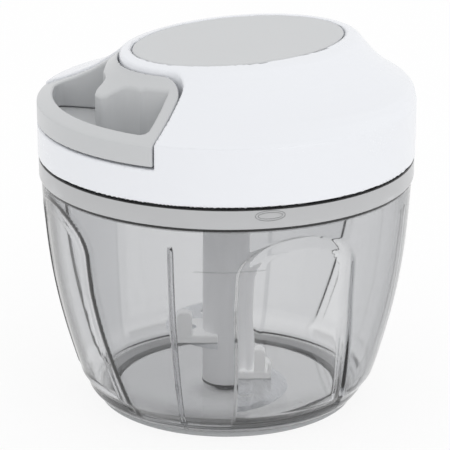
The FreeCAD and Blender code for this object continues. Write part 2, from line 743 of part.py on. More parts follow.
def clutch_rollers():
    """Steel rollers that jam between the spool's hub and the driver's cup one way only."""
    radius = (CLUTCH_IN_R - ARBOR_R) / 2 - RUN_GAP
    middle = (CLUTCH_IN_R + ARBOR_R) / 2
    low = clutch_low_z() + DRIVE_GAP
    roller = cylinder(radius, low, clutch_low_z() + CLUTCH_H - DRIVE_GAP, middle)
    return Part.makeCompound(around(roller, ROLLERS))


def spool():
    """The cord's drum between two flanges, on a hub that reaches down through the spring to the clutch."""
    low = spool_low_z()
    high = spool_high_z()
    low_flange = cylinder(SPOOL_FLANGE_R, low, low + SPOOL_WEB)
    high_flange = cylinder(SPOOL_FLANGE_R, high - SPOOL_WEB, high)
    body = fuse(cylinder(DRUM_R, low, high), [low_flange, high_flange])
    body = body.cut(ring(DRUM_R - 2 * SPOOL_WEB, ARBOR_R, low - 1, high - SPOOL_WEB))
    hub = cylinder(ARBOR_R, clutch_low_z() + DRIVE_GAP, high)
    body = fuse(body, [hub])
    return body.cut(cylinder(AXLE_R + RUN_GAP, cup_low_z(), high + 1))


def spool_axle():
    return cylinder(AXLE_R, cup_low_z() + DRIVE_GAP, cover_top_z())


def pocket_room():
    """The space that the pocket's walls and floor take inside the lid, with a gap round it."""
    return pocket(POCKET_T + DRIVE_GAP, POCKET_Z - POCKET_T - DRIVE_GAP)


def spring_cup():
    """The tray under the spool that holds the recoil spring, threaded on the drive's posts."""
    low = cup_low_z()
    floor = cylinder(COVER_R, low, low + CUP_T)
    wall = ring(SPRING_CUP_R, SPRING_CUP_R - CUP_T, low, low + CUP_T + CUP_WALL_H)
    cup = fuse(floor, [wall]).cut(cylinder(ARBOR_R + DRIVE_GAP, low - 1, low + CUP_T + 1)).cut(pocket_room())
    for spot in post_spots():
        cup = cup.cut(cylinder(POST_R + POST_GAP, low - 1, low + CUP_T + 1, spot.x, spot.y))
    return cup


def recoil_spring():
    """A flat steel strip wound from the hub to the cup's wall, as thin rings joined by one radial tail."""
    low = cup_low_z() + CUP_T + DRIVE_GAP
    high = spool_low_z() - DRIVE_GAP
    first = ARBOR_R + DRIVE_GAP
    pitch = (SPRING_R - first) / (SPRING_TURNS - 1)
    inners = [first + pitch * turn for turn in range(SPRING_TURNS)]
    rings = [ring(inner + SPRING_T, inner, low, high) for inner in inners]
    last = SPRING_CUP_R - CUP_T - DRIVE_GAP
    tail = box((last - first, SPRING_T, high - low), ((last + first) / 2, 0, (low + high) / 2))
    return fuse(rings[0], rings[1:] + [tail])


def drive_cover():
    cover = cylinder(COVER_R, cover_low_z(), cover_top_z()).cut(pocket_room())
    cover = cover.cut(cylinder(AXLE_R, cover_low_z() - 1, cover_top_z() + 1))
    for spot in post_spots():
        cover = cover.cut(cylinder(SCREW_R, cover_low_z() - 1, cover_top_z() + 1, spot.x, spot.y))
    return cover


def lid_screws():
    """Six screws up through the lid base and five down through the drive's cover."""
    screws = []
    for spot in base_screw_spots():
        shank = cylinder(SCREW_R, base_low_z(), screw_tip_z(), spot.x, spot.y)
        head = cylinder(SCREW_HEAD_R, base_low_z() - SCREW_HEAD_H, base_low_z(), spot.x, spot.y)
        screws.append(shank.fuse(head))
    for spot in post_spots():
        shank = cylinder(SCREW_R, cover_top_z() - SCREW_L, cover_top_z(), spot.x, spot.y)
        head = cylinder(SCREW_HEAD_R, cover_top_z(), cover_top_z() + SCREW_HEAD_H, spot.x, spot.y)
        screws.append(shank.fuse(head))
    return Part.makeCompound(screws)


PIECES = [bowl, base_ring, pivot_pin, blade_spindle, foot_bush, cross_bar, lower_blade, upper_blade,
          blade_rivets, lid_shell, top_pad, dock_liner, lid_base, lid_plug, lid_seal, lid_screws,
          pull_handle, cord_knot, pull_cord_lead, pull_cord_inner, pull_cord_wound, cord_eyelet, spool,
          spool_axle, spring_cup, recoil_spring, clutch_rollers, drive_socket, drive_cover]


os.makedirs("parts", exist_ok=True)
for piece in PIECES:
    save(piece.__name__, piece())
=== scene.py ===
import math

import bpy
import numpy as np
from mathutils import Matrix, Vector
from mathutils.geometry import tessellate_polygon


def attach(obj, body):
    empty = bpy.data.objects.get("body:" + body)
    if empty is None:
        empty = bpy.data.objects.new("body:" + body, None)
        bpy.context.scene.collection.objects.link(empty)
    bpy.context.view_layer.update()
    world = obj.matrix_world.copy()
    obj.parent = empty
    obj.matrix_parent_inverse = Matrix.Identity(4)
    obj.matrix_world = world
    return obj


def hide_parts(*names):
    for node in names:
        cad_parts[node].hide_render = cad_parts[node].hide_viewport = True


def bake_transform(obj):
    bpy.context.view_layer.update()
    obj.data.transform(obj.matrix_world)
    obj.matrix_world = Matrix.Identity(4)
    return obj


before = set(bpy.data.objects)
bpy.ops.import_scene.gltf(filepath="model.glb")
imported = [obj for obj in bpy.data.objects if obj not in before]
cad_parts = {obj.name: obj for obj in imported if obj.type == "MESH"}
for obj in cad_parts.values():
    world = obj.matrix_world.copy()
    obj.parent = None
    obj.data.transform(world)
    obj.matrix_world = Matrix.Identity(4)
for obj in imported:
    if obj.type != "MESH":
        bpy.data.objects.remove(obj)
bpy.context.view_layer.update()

# ---------------------------------------------------------------- camera
# A long lens from the front right, a little above the lid. The handle is on the left and
# points towards -Y.
AIM = Vector((0.0, 0.0, 0.0615))
CAMERA_AZIMUTH = math.radians(62.0)
CAMERA_ELEVATION = math.radians(19.05)
CAMERA_DISTANCE = 0.8123
CAMERA_ROLL = math.radians(0.14)


def placed(name, data):
    """An object of the scene round its data."""
    made = bpy.data.objects.new(name, data)
    bpy.context.scene.collection.objects.link(made)
    return made


camera = placed("camera", bpy.data.cameras.new("camera"))
level = math.cos(CAMERA_ELEVATION)
towards_lens = Vector((math.sin(CAMERA_AZIMUTH) * level, -math.cos(CAMERA_AZIMUTH) * level, 0.0))
towards_lens.z = math.sin(CAMERA_ELEVATION)
camera.rotation_mode = "QUATERNION"
camera.location = AIM + towards_lens * CAMERA_DISTANCE
roll = Matrix.Rotation(CAMERA_ROLL, 3, "Z").to_quaternion()
camera.rotation_quaternion = (-towards_lens).to_track_quat("-Z", "Y") @ roll
camera.data.sensor_width = 36.0
camera.data.lens = 183.0
camera.data.shift_x = -0.0029
camera.data.clip_start = 0.05
camera.data.clip_end = 20.0
bpy.context.scene.camera = camera

# ---------------------------------------------------------------- bowl
# The clear bowl: injection moulded in smoke-grey plastic and polished. It has a thicker band at
# its rim, four arched panels sunk into the outside, four ribs inside, bayonet lugs under the rim
# and a boss in the floor for the steel pin.
MM = 0.001
LID_R = 66.0
RIM_Z = 89.3
BAND_H = 6.9
BAND_R = 65.8
BAND_EDGE = 0.7
RIM_T = 3.0
RIM_ROUND = 0.6
WALL_T = 2.2
HEEL_R = 48.0
FOOT_H = 2.5
KNEE_R = 51.2
KNEE_Z = 8.0
WALL_BULGE = 2.56
BELLY = 1.25
BELLY_Z = 33.0
WALL_TOP_Z = RIM_Z - BAND_H
WALL_TOP_R = BAND_R - BAND_EDGE
RIM_IN_R = BAND_R - RIM_T
FLOOR_Z = 2.2
FLOOR_T = 1.6
FLOOR_FILLET = 9.5
PAN_R = 45.2
PAN_LOW_R = 40.5
ARCH_MID = math.radians(-5.2)
ARCH_HALF = 22.3
ARCH_TOP_Z = 78.4
ARCH_RISE = 14.0
ARCH_STEP = 0.75
ARCH_STEP_W = 0.9
ARCH_SOFT_W = 2.4
ARCH_BORDER = 5.4
ARCH_DISH = 0.35
ARCH_DRIFT = 3.8
ARCH_DRIFT_Z = 52.0
RIB_MID = math.radians(-45.0)
RIB_TOP_Z = 74.5
RIB_W = 1.7
RIB_DEPTH = 1.2
BOSS_R = 4.0
BOSS_H = 5.0
PIN_R = 2.0
PIN_FIT = 0.02
POLE_R = 0.02
QUARTER = math.pi / 2
COLUMN_PITCH = math.radians(1.25)
# The middle, half width and pitch in degrees where columns lie closer: a rib, a panel's two sides.
CLOSE_COLUMNS = (
    (RIB_MID, 1.6, 0.27),
    (ARCH_MID - math.radians(20.4), 3.6, 0.45),
    (ARCH_MID + math.radians(24.8), 7.4, 0.45),
)
# Painted shade on the bowl's outside: dark lines along the panels' edges, thicker near one corner, and rows
# at the panels' feet, stronger towards the front. The fill line is a mark on the wall.
EDGE_SHADE_AT = 0.45
EDGE_SHADE_W = 0.42
EDGE_SHADE_LEFT = 0.55
EDGE_SHADE_RIGHT = 0.15
SHADED_CORNER = math.radians(-76.0)
FILL_LINE_Z = 67.0
FILL_LINE_HALF_H = 0.3
FILL_LINE_MID = math.radians(333.0)
FILL_LINE_HALF_W = math.radians(10.5)
FILL_LINE_DARK = 0.45
HEEL_FRONT = math.radians(-10.0)
LEDGE_LEFT = math.radians(-21.5)
LEDGE_RIGHT = math.radians(26.0)
LEDGE_FADE = 0.03
LEDGE_FRONT = math.radians(-40.0)
LEDGE_ZS = (3.9, 5.0, 6.6, 7.9)
LEDGE_SHADES = (0.0, 0.6, 1.0, 0.0)
SMOKE = (0.50, 0.51, 0.53)
SMOKE_DENSITY = 300.0
# The near-black of the painted shade lines, the grazing edges and the fill line.
SHADE_FILL_TONE = (0.004, 0.004, 0.004)
DISC_R = 41.5
# Painted shade: the floor's flat disc is darker, for the shadow under the bowl.
DISC_SHADE = (0.87, 0.87, 0.87)
GRAZE_FROM = 0.64
GRAZE_TO = 0.88
# Painted light: a pale grey satin layer over the clear band, in place of the lit plug seen through it.
BAND_LIGHT_TONE = (0.635, 0.64, 0.65)
BAND_LIGHT_COVER = 0.75
SHADE_FILL_COVER = 0.6


class Channel:
    """One output in a node tree. Sums, products and powers of channels add their Math nodes."""

    def __init__(self, nodes, socket):
        self.nodes = nodes
        self.socket = socket

    def math(self, operation, *others):
        return self.nodes.node("ShaderNodeMath", {"operation": operation}, self, *others)

    def __add__(self, other):
        return self.math("ADD", other)

    __radd__ = __add__

    def __sub__(self, other):
        return self.math("SUBTRACT", other)

    def __rsub__(self, other):
        return -1.0 * self + other

    def __mul__(self, other):
        return self.math("MULTIPLY", other)

    __rmul__ = __mul__

    def __pow__(self, other):
        return self.math("POWER", other)

    def above(self, limit):
        return self.math("GREATER_THAN", limit)

    def below(self, limit):
        return self.math("LESS_THAN", limit)

    def or_more(self, other):
        return self.math("MAXIMUM", other)


class Nodes:
    """A shader tree, with one method that adds any node to it."""

    def __init__(self, tree):
        self.tree = tree

    def node(self, kind, settings, *values, output=0):
        made = self.tree.nodes.new(kind)
        for key, value in settings.items():
            setattr(made, key, value)
        for socket, value in zip([s for s in made.inputs if s.enabled], values):
            self.feed(socket, value)
        return Channel(self, [s for s in made.outputs if s.enabled][output])

    def feed(self, socket, value):
        """Gives a socket its link or its value. None leaves the socket as it is."""
        if isinstance(value, Channel):
            self.tree.links.new(value.socket, socket)
        elif value is not None:
            socket.default_value = value


class Finish(Nodes):
    """A material round one Principled shader."""

    def __init__(self, name, colour, roughness, **sockets):
        self.material = bpy.data.materials.new(name)
        self.material.use_nodes = True
        super().__init__(self.material.node_tree)
        self.shader = self.tree.nodes["Principled BSDF"]
        self.leave = self.tree.nodes["Material Output"]
        self.set("Base Color", (*colour, 1.0))
        self.set("Roughness", roughness)
        for socket, value in sockets.items():
            self.set(socket.replace("_", " "), value)

    def set(self, socket, value):
        self.feed(self.shader.inputs[socket], value)

    def laid_over(self, factor, shader):
        """Lays a second shader over the first where the factor is one."""
        own = Channel(self, self.shader.outputs["BSDF"])
        self.feed(self.leave.inputs["Surface"], self.node("ShaderNodeMixShader", {}, factor, own, shader))

    def place(self):
        return self.node("ShaderNodeTexCoord", {}, output=3)

    def noise(self, scale, detail=2.0, rough=0.5):
        return self.node("ShaderNodeTexNoise", {"noise_dimensions": "3D"}, self.place(), scale, detail, rough)

    def height(self):
        return self.node("ShaderNodeSeparateXYZ", {}, self.place(), output=2)

    def off_axis(self):
        """How far a place is from the upright axis."""
        flat = self.node("ShaderNodeVectorMath", {"operation": "MULTIPLY"}, self.place(), (1.0, 1.0, 0.0))
        return self.node("ShaderNodeVectorMath", {"operation": "LENGTH"}, flat)

    def between(self, factor, first, second):
        """The first colour where the factor is nought, and the second where it is one."""
        first, second = (c if isinstance(c, Channel) else (*c, 1.0) for c in (first, second))
        return self.node("ShaderNodeMix", {"data_type": "RGBA"}, factor, first, second)

    def bump(self, height, depth, strength=1.0):
        """Height is 0 to 1 and depth is what 1 stands for, in metres."""
        bump = self.tree.nodes.new("ShaderNodeBump")
        self.feed(bump.inputs["Strength"], strength)
        self.feed(bump.inputs["Distance"], depth)
        self.feed(bump.inputs["Height"], height)
        self.set("Normal", Channel(self, bump.outputs["Normal"]))

    def moulded(self, grain, depth, rough_low, rough_high):
        """The fine grain of a spark-eroded mould, and a slow change of gloss over the piece."""
        fine = self.noise(1.0 / grain, 3.0, 0.6)
        slow = self.noise(35.0, 2.0, 0.5)
        self.bump(fine, depth)
        self.set("Roughness", rough_low + (rough_high - rough_low) * (0.5 * fine + 0.5 * slow))


def mesh_piece(name, points, faces, finish, body, slot, *nodes):
    """A smooth mesh from points in millimetres, riding on a body in place of its nodes."""
    mesh = bpy.data.meshes.new(name)
    mesh.from_pydata([tuple(p) for p in np.asarray(points) * MM], [], [tuple(f) for f in faces])
    mesh.validate()
    mesh.shade_smooth()
    mesh.materials.append(finish.material)
    piece = placed(name, mesh)
    if body:
        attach(piece, body)
    if nodes:
        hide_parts(*nodes)
    return piece


def quads_between(first, second, count, shift=0):
    """Quads between two rings of points whose numbers start at `first` and `second`."""
    on = [(index + 1) % count for index in range(count)]
    far = [second + (index + shift) % count for index in range(count)]
    return [(first + index, first + on[index], far[on[index]], far[index]) for index in range(count)]


def ring_faces(rows, columns, capped=False):
    """Quads between rings of points that lie one after another, and a face at each end if capped."""
    faces = []
    for row in range(rows - 1):
        faces += quads_between(row * columns, (row + 1) * columns, columns)
    if capped:
        faces.append(tuple(range(columns))[::-1])
        faces.append(tuple((rows - 1) * columns + column for column in range(columns)))
    return faces


def smooth_step(low, high, value):
    share = np.clip((value - low) / (high - low), 0.0, 1.0)
    return share * share * (3 - 2 * share)


def wall_radius(z):
    share = (z - KNEE_Z) / (WALL_TOP_Z - KNEE_Z)
    belly = BELLY * smooth_step(KNEE_Z - 0.8, KNEE_Z + 2.6, z)
    belly = belly * (1 - smooth_step(BELLY_Z, WALL_TOP_Z + 1.5, z))
    return KNEE_R + share * (WALL_TOP_R - KNEE_R) + 4 * WALL_BULGE * share * (1 - share) + belly


def bend(centre, radius, start, end, count):
    """Points on an arc in the profile's plane; the angles are in degrees from outwards."""
    angles = np.radians(np.linspace(start, end, count))
    return [(centre[0] + radius * math.cos(a), centre[1] + radius * math.sin(a)) for a in angles]


def oval_distance(x, y, half_x, half_y):
    """Nearly the signed distance to an ellipse."""
    reach = np.sqrt((x / half_x) ** 2 + (y / half_y) ** 2)
    slope = np.sqrt((x / half_x**2) ** 2 + (y / half_y**2) ** 2)
    return reach * (reach - 1.0) / np.maximum(slope, 1e-6)


def towards(angle, middle):
    """One at an angle round the bowl, falling to nought a quarter turn away from it."""
    return np.maximum(np.cos(angle - middle), 0.0)


def off_nearest(angle, middle):
    """The turn from the nearest of four like features, the first of which is at `middle`."""
    return (angle - middle + math.pi / 4) % QUARTER - math.pi / 4


def columns_of_the_bowl():
    """Angles round the bowl, closer together at the ribs and at the sides of the panels."""
    angles = []
    angle = 0.0
    while angle < QUARTER - 1e-6:
        angles.append(angle)
        pitch = COLUMN_PITCH
        for middle, half, close_pitch in CLOSE_COLUMNS:
            if abs(off_nearest(angle, middle % QUARTER)) < math.radians(half):
                pitch = min(pitch, math.radians(close_pitch))
        angle += pitch
    if QUARTER - angles[-1] < math.radians(0.2):
        angles.pop()
    return np.array([a + quarter * QUARTER for quarter in range(4) for a in angles])


def panel_inward(angle, z, radius):
    """How far inside the edge of an arched panel a place is."""
    drift = ARCH_DRIFT * np.clip((ARCH_DRIFT_Z - z) / (ARCH_DRIFT_Z - KNEE_Z), 0.0, 1.0)
    across = np.abs(off_nearest(angle, ARCH_MID) * radius - drift)
    high = np.maximum(z - (ARCH_TOP_Z - ARCH_RISE), 0.0)
    inward = -oval_distance(across, high, ARCH_HALF, ARCH_RISE)
    return np.minimum(inward, (z - KNEE_Z + 3.0) * 0.8)


def panel_depth(angle, z, radius):
    """How deep the arched panels are sunk: a short steep step, a sloping border, then a flat."""
    inward = panel_inward(angle, z, radius)
    step_w = np.where(off_nearest(angle, ARCH_MID) > 0.1, ARCH_SOFT_W, ARCH_STEP_W)
    step = ARCH_STEP * smooth_step(0.0, step_w, inward)
    dish = ARCH_DISH * smooth_step(ARCH_BORDER - 0.8, ARCH_BORDER, inward)
    return step + dish


def rib_height(angle, z):
    across = np.abs(off_nearest(angle, RIB_MID)) * wall_radius(z)
    top = smooth_step(RIB_TOP_Z, RIB_TOP_Z - 1.4, z)
    return RIB_DEPTH * top * (1.0 - smooth_step(RIB_W / 2 - 0.45, RIB_W / 2 + 0.15, across))


def shading_and_fill_at(angle, z, radius):
    """How dark a place on the outside is painted: painted shade along the panels' edges and feet and under
    the band, and the fill line.
    """
    inward = panel_inward(angle, z, radius)
    turn = off_nearest(angle, ARCH_MID)
    thin_shade = np.where(turn < 0, EDGE_SHADE_LEFT, EDGE_SHADE_RIGHT)
    thin_shade = thin_shade * np.exp(-(((inward - EDGE_SHADE_AT) / EDGE_SHADE_W) ** 2))
    thick_shade = np.minimum(1.6 * towards(angle, SHADED_CORNER) ** 8, 1.0)
    thick_shade = thick_shade * smooth_step(-2.1, -1.7, inward) * smooth_step(2.2, 0.2, inward)
    at_fill_line = np.abs(angle % (2 * math.pi) - FILL_LINE_MID) < FILL_LINE_HALF_W
    fill = FILL_LINE_DARK * (np.abs(z - FILL_LINE_Z) < FILL_LINE_HALF_H) * at_fill_line
    under_band_shade = 1.0 if z > WALL_TOP_Z - 1.0 else 0.0
    within = smooth_step(LEDGE_LEFT, LEDGE_LEFT + LEDGE_FADE, turn)
    within = within * smooth_step(LEDGE_RIGHT, LEDGE_RIGHT - LEDGE_FADE, turn)
    ledge_shade = np.interp(z, LEDGE_ZS, LEDGE_SHADES) * within * (0.3 + 0.7 * towards(angle, LEDGE_FRONT))
    return np.maximum(np.maximum(thin_shade, thick_shade), np.maximum(ledge_shade, np.maximum(fill, under_band_shade)))


def side_shade(angle):
    """How strongly the wall is darkened where seen at a grazing angle: painted shade, strongest on one side
    of the bowl.
    """
    return np.minimum(0.2 + 1.1 * towards(angle, SHADED_CORNER - 0.33) ** 2, 1.0)


angles = columns_of_the_bowl()
under_z = FLOOR_Z - FLOOR_T
outside = [(POLE_R, under_z), (20.0, under_z), (PAN_LOW_R - 0.6, under_z), (PAN_LOW_R, under_z + 0.15)]
outside += [(PAN_R - 0.5, FOOT_H - 0.2), (PAN_R, FOOT_H), (HEEL_R - 0.5, FOOT_H), (HEEL_R, FOOT_H + 0.25)]
outside += [(HEEL_R + 0.75, FOOT_H + 1.1), (HEEL_R + 1.7, FOOT_H + 2.5), (HEEL_R + 2.55, FOOT_H + 4.1)]
outside += [(KNEE_R, KNEE_Z)]
heights = [*np.linspace(KNEE_Z + 1.2, 62.0, 40), *np.linspace(62.5, 79.5, 42)]
heights += [*np.linspace(80.0, WALL_TOP_Z - 0.15, 4)]
outside += [(wall_radius(z), z) for z in heights]
outside += [(WALL_TOP_R + 0.12, WALL_TOP_Z), (BAND_R - 0.3, WALL_TOP_Z + 0.03)]
outside += [(BAND_R - 0.08, WALL_TOP_Z + 0.12), (BAND_R, WALL_TOP_Z + 0.4)]
outside += [(BAND_R, z) for z in (83.6, 84.8, 86.0, 87.2, 88.2, RIM_Z - RIM_ROUND)]
rim = bend((BAND_R - RIM_ROUND, RIM_Z - RIM_ROUND), RIM_ROUND, 0.0, 90.0, 5)[1:]
rim += bend((RIM_IN_R + RIM_ROUND, RIM_Z - RIM_ROUND), RIM_ROUND, 90.0, 180.0, 5)
lean = math.atan((WALL_TOP_R - KNEE_R + 4 * WALL_BULGE) / (WALL_TOP_Z - KNEE_Z))
inner_low = FLOOR_Z + FLOOR_FILLET * (1 - math.sin(lean))
inner_flat = wall_radius(inner_low) - WALL_T - FLOOR_FILLET * math.cos(lean)
inside = [(RIM_IN_R, z) for z in (87.0, 85.2, 83.6, WALL_TOP_Z)]
inside += [(wall_radius(z) - WALL_T, z) for z in np.linspace(WALL_TOP_Z - 0.8, inner_low + 0.6, 66)]
inside += bend((inner_flat, FLOOR_Z + FLOOR_FILLET), FLOOR_FILLET, -math.degrees(lean), -90.0, 11)
inside += [(inner_flat - 6.0, FLOOR_Z), (20.0, FLOOR_Z), (BOSS_R + 1.2, FLOOR_Z)]
inside += [(BOSS_R + 0.3, FLOOR_Z + 0.3), (BOSS_R, FLOOR_Z + 1.2), (BOSS_R, FLOOR_Z + BOSS_H - 0.4)]
inside += [(BOSS_R - 0.4, FLOOR_Z + BOSS_H), (PIN_R + PIN_FIT, FLOOR_Z + BOSS_H)]
inside += [(PIN_R + PIN_FIT, FLOOR_Z + PIN_FIT), (POLE_R, FLOOR_Z + PIN_FIT)]
points = []
shade_fill_rows = []
shades = []
for index, (radius, z) in enumerate(outside + rim + inside):
    radii = np.full(len(angles), radius)
    row_shade_fill = np.zeros(len(angles))
    on_outside = index < len(outside)
    on_inside = index >= len(outside) + len(rim)
    if on_outside and radius > HEEL_R and KNEE_Z - 3.1 < z < WALL_TOP_Z:
        radii = radii - panel_depth(angles, z, radius)
        row_shade_fill = shading_and_fill_at(angles, z, radius)
    # Painted shade: a dark line round the heel, stronger towards the front.
    if on_outside and HEEL_R - 0.6 < radius < HEEL_R + 0.1:
        row_shade_fill = 0.3 + 0.7 * towards(angles, HEEL_FRONT)
    # Painted shade: the outer round of the rim's top is dark, for the shade in the gap under the lid.
    if len(outside) <= index < len(outside) + 5:
        row_shade_fill = np.ones(len(angles))
    if on_inside and radius > BOSS_R + 10 and FLOOR_Z + 1.5 < z < WALL_TOP_Z:
        radii = radii - rib_height(angles, z)
    shade_fill_rows.append(row_shade_fill)
    shades.append(side_shade(angles))
    points += [*np.column_stack([radii * np.cos(angles), radii * np.sin(angles), np.full(len(angles), z)])]
faces = ring_faces(len(outside) + len(rim) + len(inside), len(angles), capped=True)

smoke = Finish("smoke clear plastic", (1.0, 1.0, 1.0), 0.02, Transmission_Weight=1.0, IOR=1.46)
smoke.set("Roughness", 0.012 + 0.03 * smoke.noise(60.0))
absorbed = smoke.node("ShaderNodeVolumeAbsorption", {}, (*SMOKE, 1.0), SMOKE_DENSITY)
smoke.feed(smoke.leave.inputs["Volume"], absorbed)
# Painted shade: the base colour goes near-black along the painted lines and where the wall is seen at a
# grazing angle, more on one side of the bowl; the fill line shares it.
painted_shade_fill = smoke.node("ShaderNodeAttribute", {"attribute_name": "painted_shade_fill"}, output=2)
side = smoke.node("ShaderNodeAttribute", {"attribute_name": "side_shade"}, output=2)
facing = smoke.node("ShaderNodeLayerWeight", {}, 0.5, output=1)
smooth = {"interpolation_type": "SMOOTHSTEP"}
grazing = smoke.node("ShaderNodeMapRange", smooth, facing, GRAZE_FROM, GRAZE_TO, 0.0, 1.0)
height, off_axis = smoke.height(), smoke.off_axis()
# Painted shade: the floor's flat disc is tinted darker, for the shadow under the bowl.
shaded_disc = height.below((FLOOR_Z + 0.2) * MM) * off_axis.below(DISC_R * MM)
floor_shade_tone = smoke.between(shaded_disc, (1.0, 1.0, 1.0), DISC_SHADE)
smoke.set("Base Color", smoke.between((grazing * side).or_more(painted_shade_fill), floor_shade_tone, SHADE_FILL_TONE))
# Painted light and shade: a satin layer, pale grey over the band in place of the lit plug behind it, and
# near-black over the painted lines and the fill line.
on_band = height.above((WALL_TOP_Z + 0.1) * MM) * height.below((RIM_Z - 0.3) * MM)
on_band = on_band * off_axis.above((BAND_R - 0.4) * MM)
shade_fill_cubed = painted_shade_fill**3
light_and_shade_tone = smoke.between(shade_fill_cubed, BAND_LIGHT_TONE, (0.01, 0.01, 0.01))
satin = smoke.node("ShaderNodeBsdfPrincipled", {}, light_and_shade_tone, 0.0, 0.3)
smoke.laid_over((SHADE_FILL_COVER * shade_fill_cubed).or_more(BAND_LIGHT_COVER * on_band), satin)
clear_bowl = mesh_piece("clear_bowl", points, faces, smoke, "bowl", "smoke_clear", "bowl")
for name, values in (("painted_shade_fill", shade_fill_rows), ("side_shade", shades)):
    shade_fill_values = clear_bowl.data.attributes.new(name, "FLOAT", "POINT")
    shade_fill_values.data.foreach_set("value", np.concatenate(values))

# ---------------------------------------------------------------- foot ring and pin
# A grey non-slip ring is pressed round the dished middle of the bowl's underside. A polished
# steel pin stands in the floor's boss and carries the blade unit.
FOOT_R = 46.2
FOOT_LIP = 1.5
FOOT_LIT_R = 41.8


def revolved(name, profile, count, finish, body, slot, *nodes):
    """A turned piece from its closed profile in millimetres, anticlockwise with outwards right."""
    turn = np.linspace(0, 2 * math.pi, count, endpoint=False)
    points = [(radius * math.cos(a), radius * math.sin(a), z) for radius, z in profile for a in turn]
    faces = ring_faces(len(profile), count) + quads_between((len(profile) - 1) * count, 0, count)
    return mesh_piece(name, points, faces, finish, body, slot, *nodes)


def corners(outline, radii, count=4):
    """A closed outline with each of its corners rounded by a radius of its own."""
    rounded = []
    for index, radius in enumerate(radii):
        corner = Vector(outline[index])
        back = Vector(outline[index - 1]) - corner
        on = Vector(outline[(index + 1) % len(outline)]) - corner
        reach = min(radius / math.tan(back.angle(on) / 2), back.length * 0.48, on.length * 0.48)
        start = corner + back.normalized() * reach
        end = corner + on.normalized() * reach
        for step in range(count + 1):
            share = step / count
            rounded.append(tuple(start.lerp(corner, share).lerp(corner.lerp(end, share), share)))
    return rounded


# Painted light: outside a radius the ring's upper face is lighter and glows, lifting the shadow under the
# bowl; inside it, and on the ring's other faces, it is darker.
foot = Finish("grey rubber", (0.62, 0.63, 0.64), 0.6, Emission_Strength=1.0)
foot.moulded(0.0004, 0.00003, 0.5, 0.7)
height, off_axis = foot.height(), foot.off_axis()
upper_side = height.above(0.3 * MM) * (1.0 - off_axis.above((FOOT_R - 0.15) * MM))
outer_half = off_axis.above(FOOT_LIT_R * MM)
upper_light_and_shade = foot.between(outer_half, (0.6, 0.6, 0.61), (0.85, 0.85, 0.85))
foot.set("Base Color", foot.between(upper_side, (0.5, 0.51, 0.52), upper_light_and_shade))
foot.set("Emission Color", foot.between(upper_side * outer_half, (0.0, 0.0, 0.0), (0.2, 0.2, 0.2)))
foot_outline = [(PAN_LOW_R - FOOT_LIP, 0.0), (FOOT_R, 0.0), (FOOT_R, FOOT_H), (PAN_R, FOOT_H)]
foot_outline += [(PAN_LOW_R, under_z), (PAN_LOW_R - FOOT_LIP, under_z)]
foot_profile = corners(foot_outline, [0.2, 0.7, 0.3, 0.1, 0.1, 0.1])
revolved("foot_ring", foot_profile, 160, foot, "bowl", "foot_grey", "base_ring")

# ---------------------------------------------------------------- lid shell
# The white lid: one thin moulding, round at its edge and drawn up by a soft shoulder to a tilted
# oval top. A wedge-shaped pocket in its front takes the handle, and a shallow oval seat the pad.
LID_Z = RIM_Z + 0.5
LID_WALL_H = 20.0
LID_T = 2.2
TOP_H = 39.0
TOP_A = 40.5
TOP_B = 31.7
TOP_BACK = 4.7
TOP_TILT = math.radians(2.2)
TOP_PLAN_A = TOP_A * math.cos(TOP_TILT)
TOP_Z = LID_Z + TOP_H
PAD_BORDER = 1.7
PAD_T = 1.2
SHOULDER = [(0.0, 0.0), (0.035, 0.165), (0.11, 0.255), (0.22, 0.31), (0.37, 0.405), (0.545, 0.555),
            (0.72, 0.765), (0.84, 0.93), (0.93, 0.99), (1.0, 1.0)]
FRONT_SHOULDER = [(0.0, 0.0), (0.03, 0.035), (0.11, 0.09), (0.22, 0.17), (0.37, 0.285), (0.545, 0.44),
                  (0.72, 0.635), (0.84, 0.8), (0.93, 0.95), (1.0, 1.0)]
FRONT_FROM_Y = 45.0
FRONT_TO_Y = -25.0
POCKET_HALF = math.radians(41.0)
POCKET_Z = LID_Z + 11.6
POCKET_BACK = 2.4
POCKET_CORNER_R = 6.0
POCKET_T = 1.6


def trimmed(first, second, radius):
    """Signed distance of two solids' common part, with the edge between them rounded."""
    rounding = np.hypot(np.maximum(first + radius, 0.0), np.maximum(second + radius, 0.0))
    return np.minimum(np.maximum(first, second), -radius) + rounding


def joined(first, second, radius):
    return -trimmed(-first, -second, radius)


share_steps = np.linspace(-0.2, 1.3, 1501)


def shoulder_table(sections):
    """The share of the way in to the oval top at each height, without kinks."""
    table = np.interp(share_steps, [h for s, h in sections], [s for s, h in sections])
    for sweep in range(3):
        table = np.convolve(np.pad(table, 9, "edge"), np.full(19, 1 / 19), "valid")
    return table


side_table = shoulder_table(SHOULDER)
front_table = shoulder_table(FRONT_SHOULDER)


def above_top(y, z):
    """The height over the lid's tilted top."""
    return (z - TOP_Z) * math.cos(TOP_TILT) - (y - TOP_BACK) * math.sin(TOP_TILT)


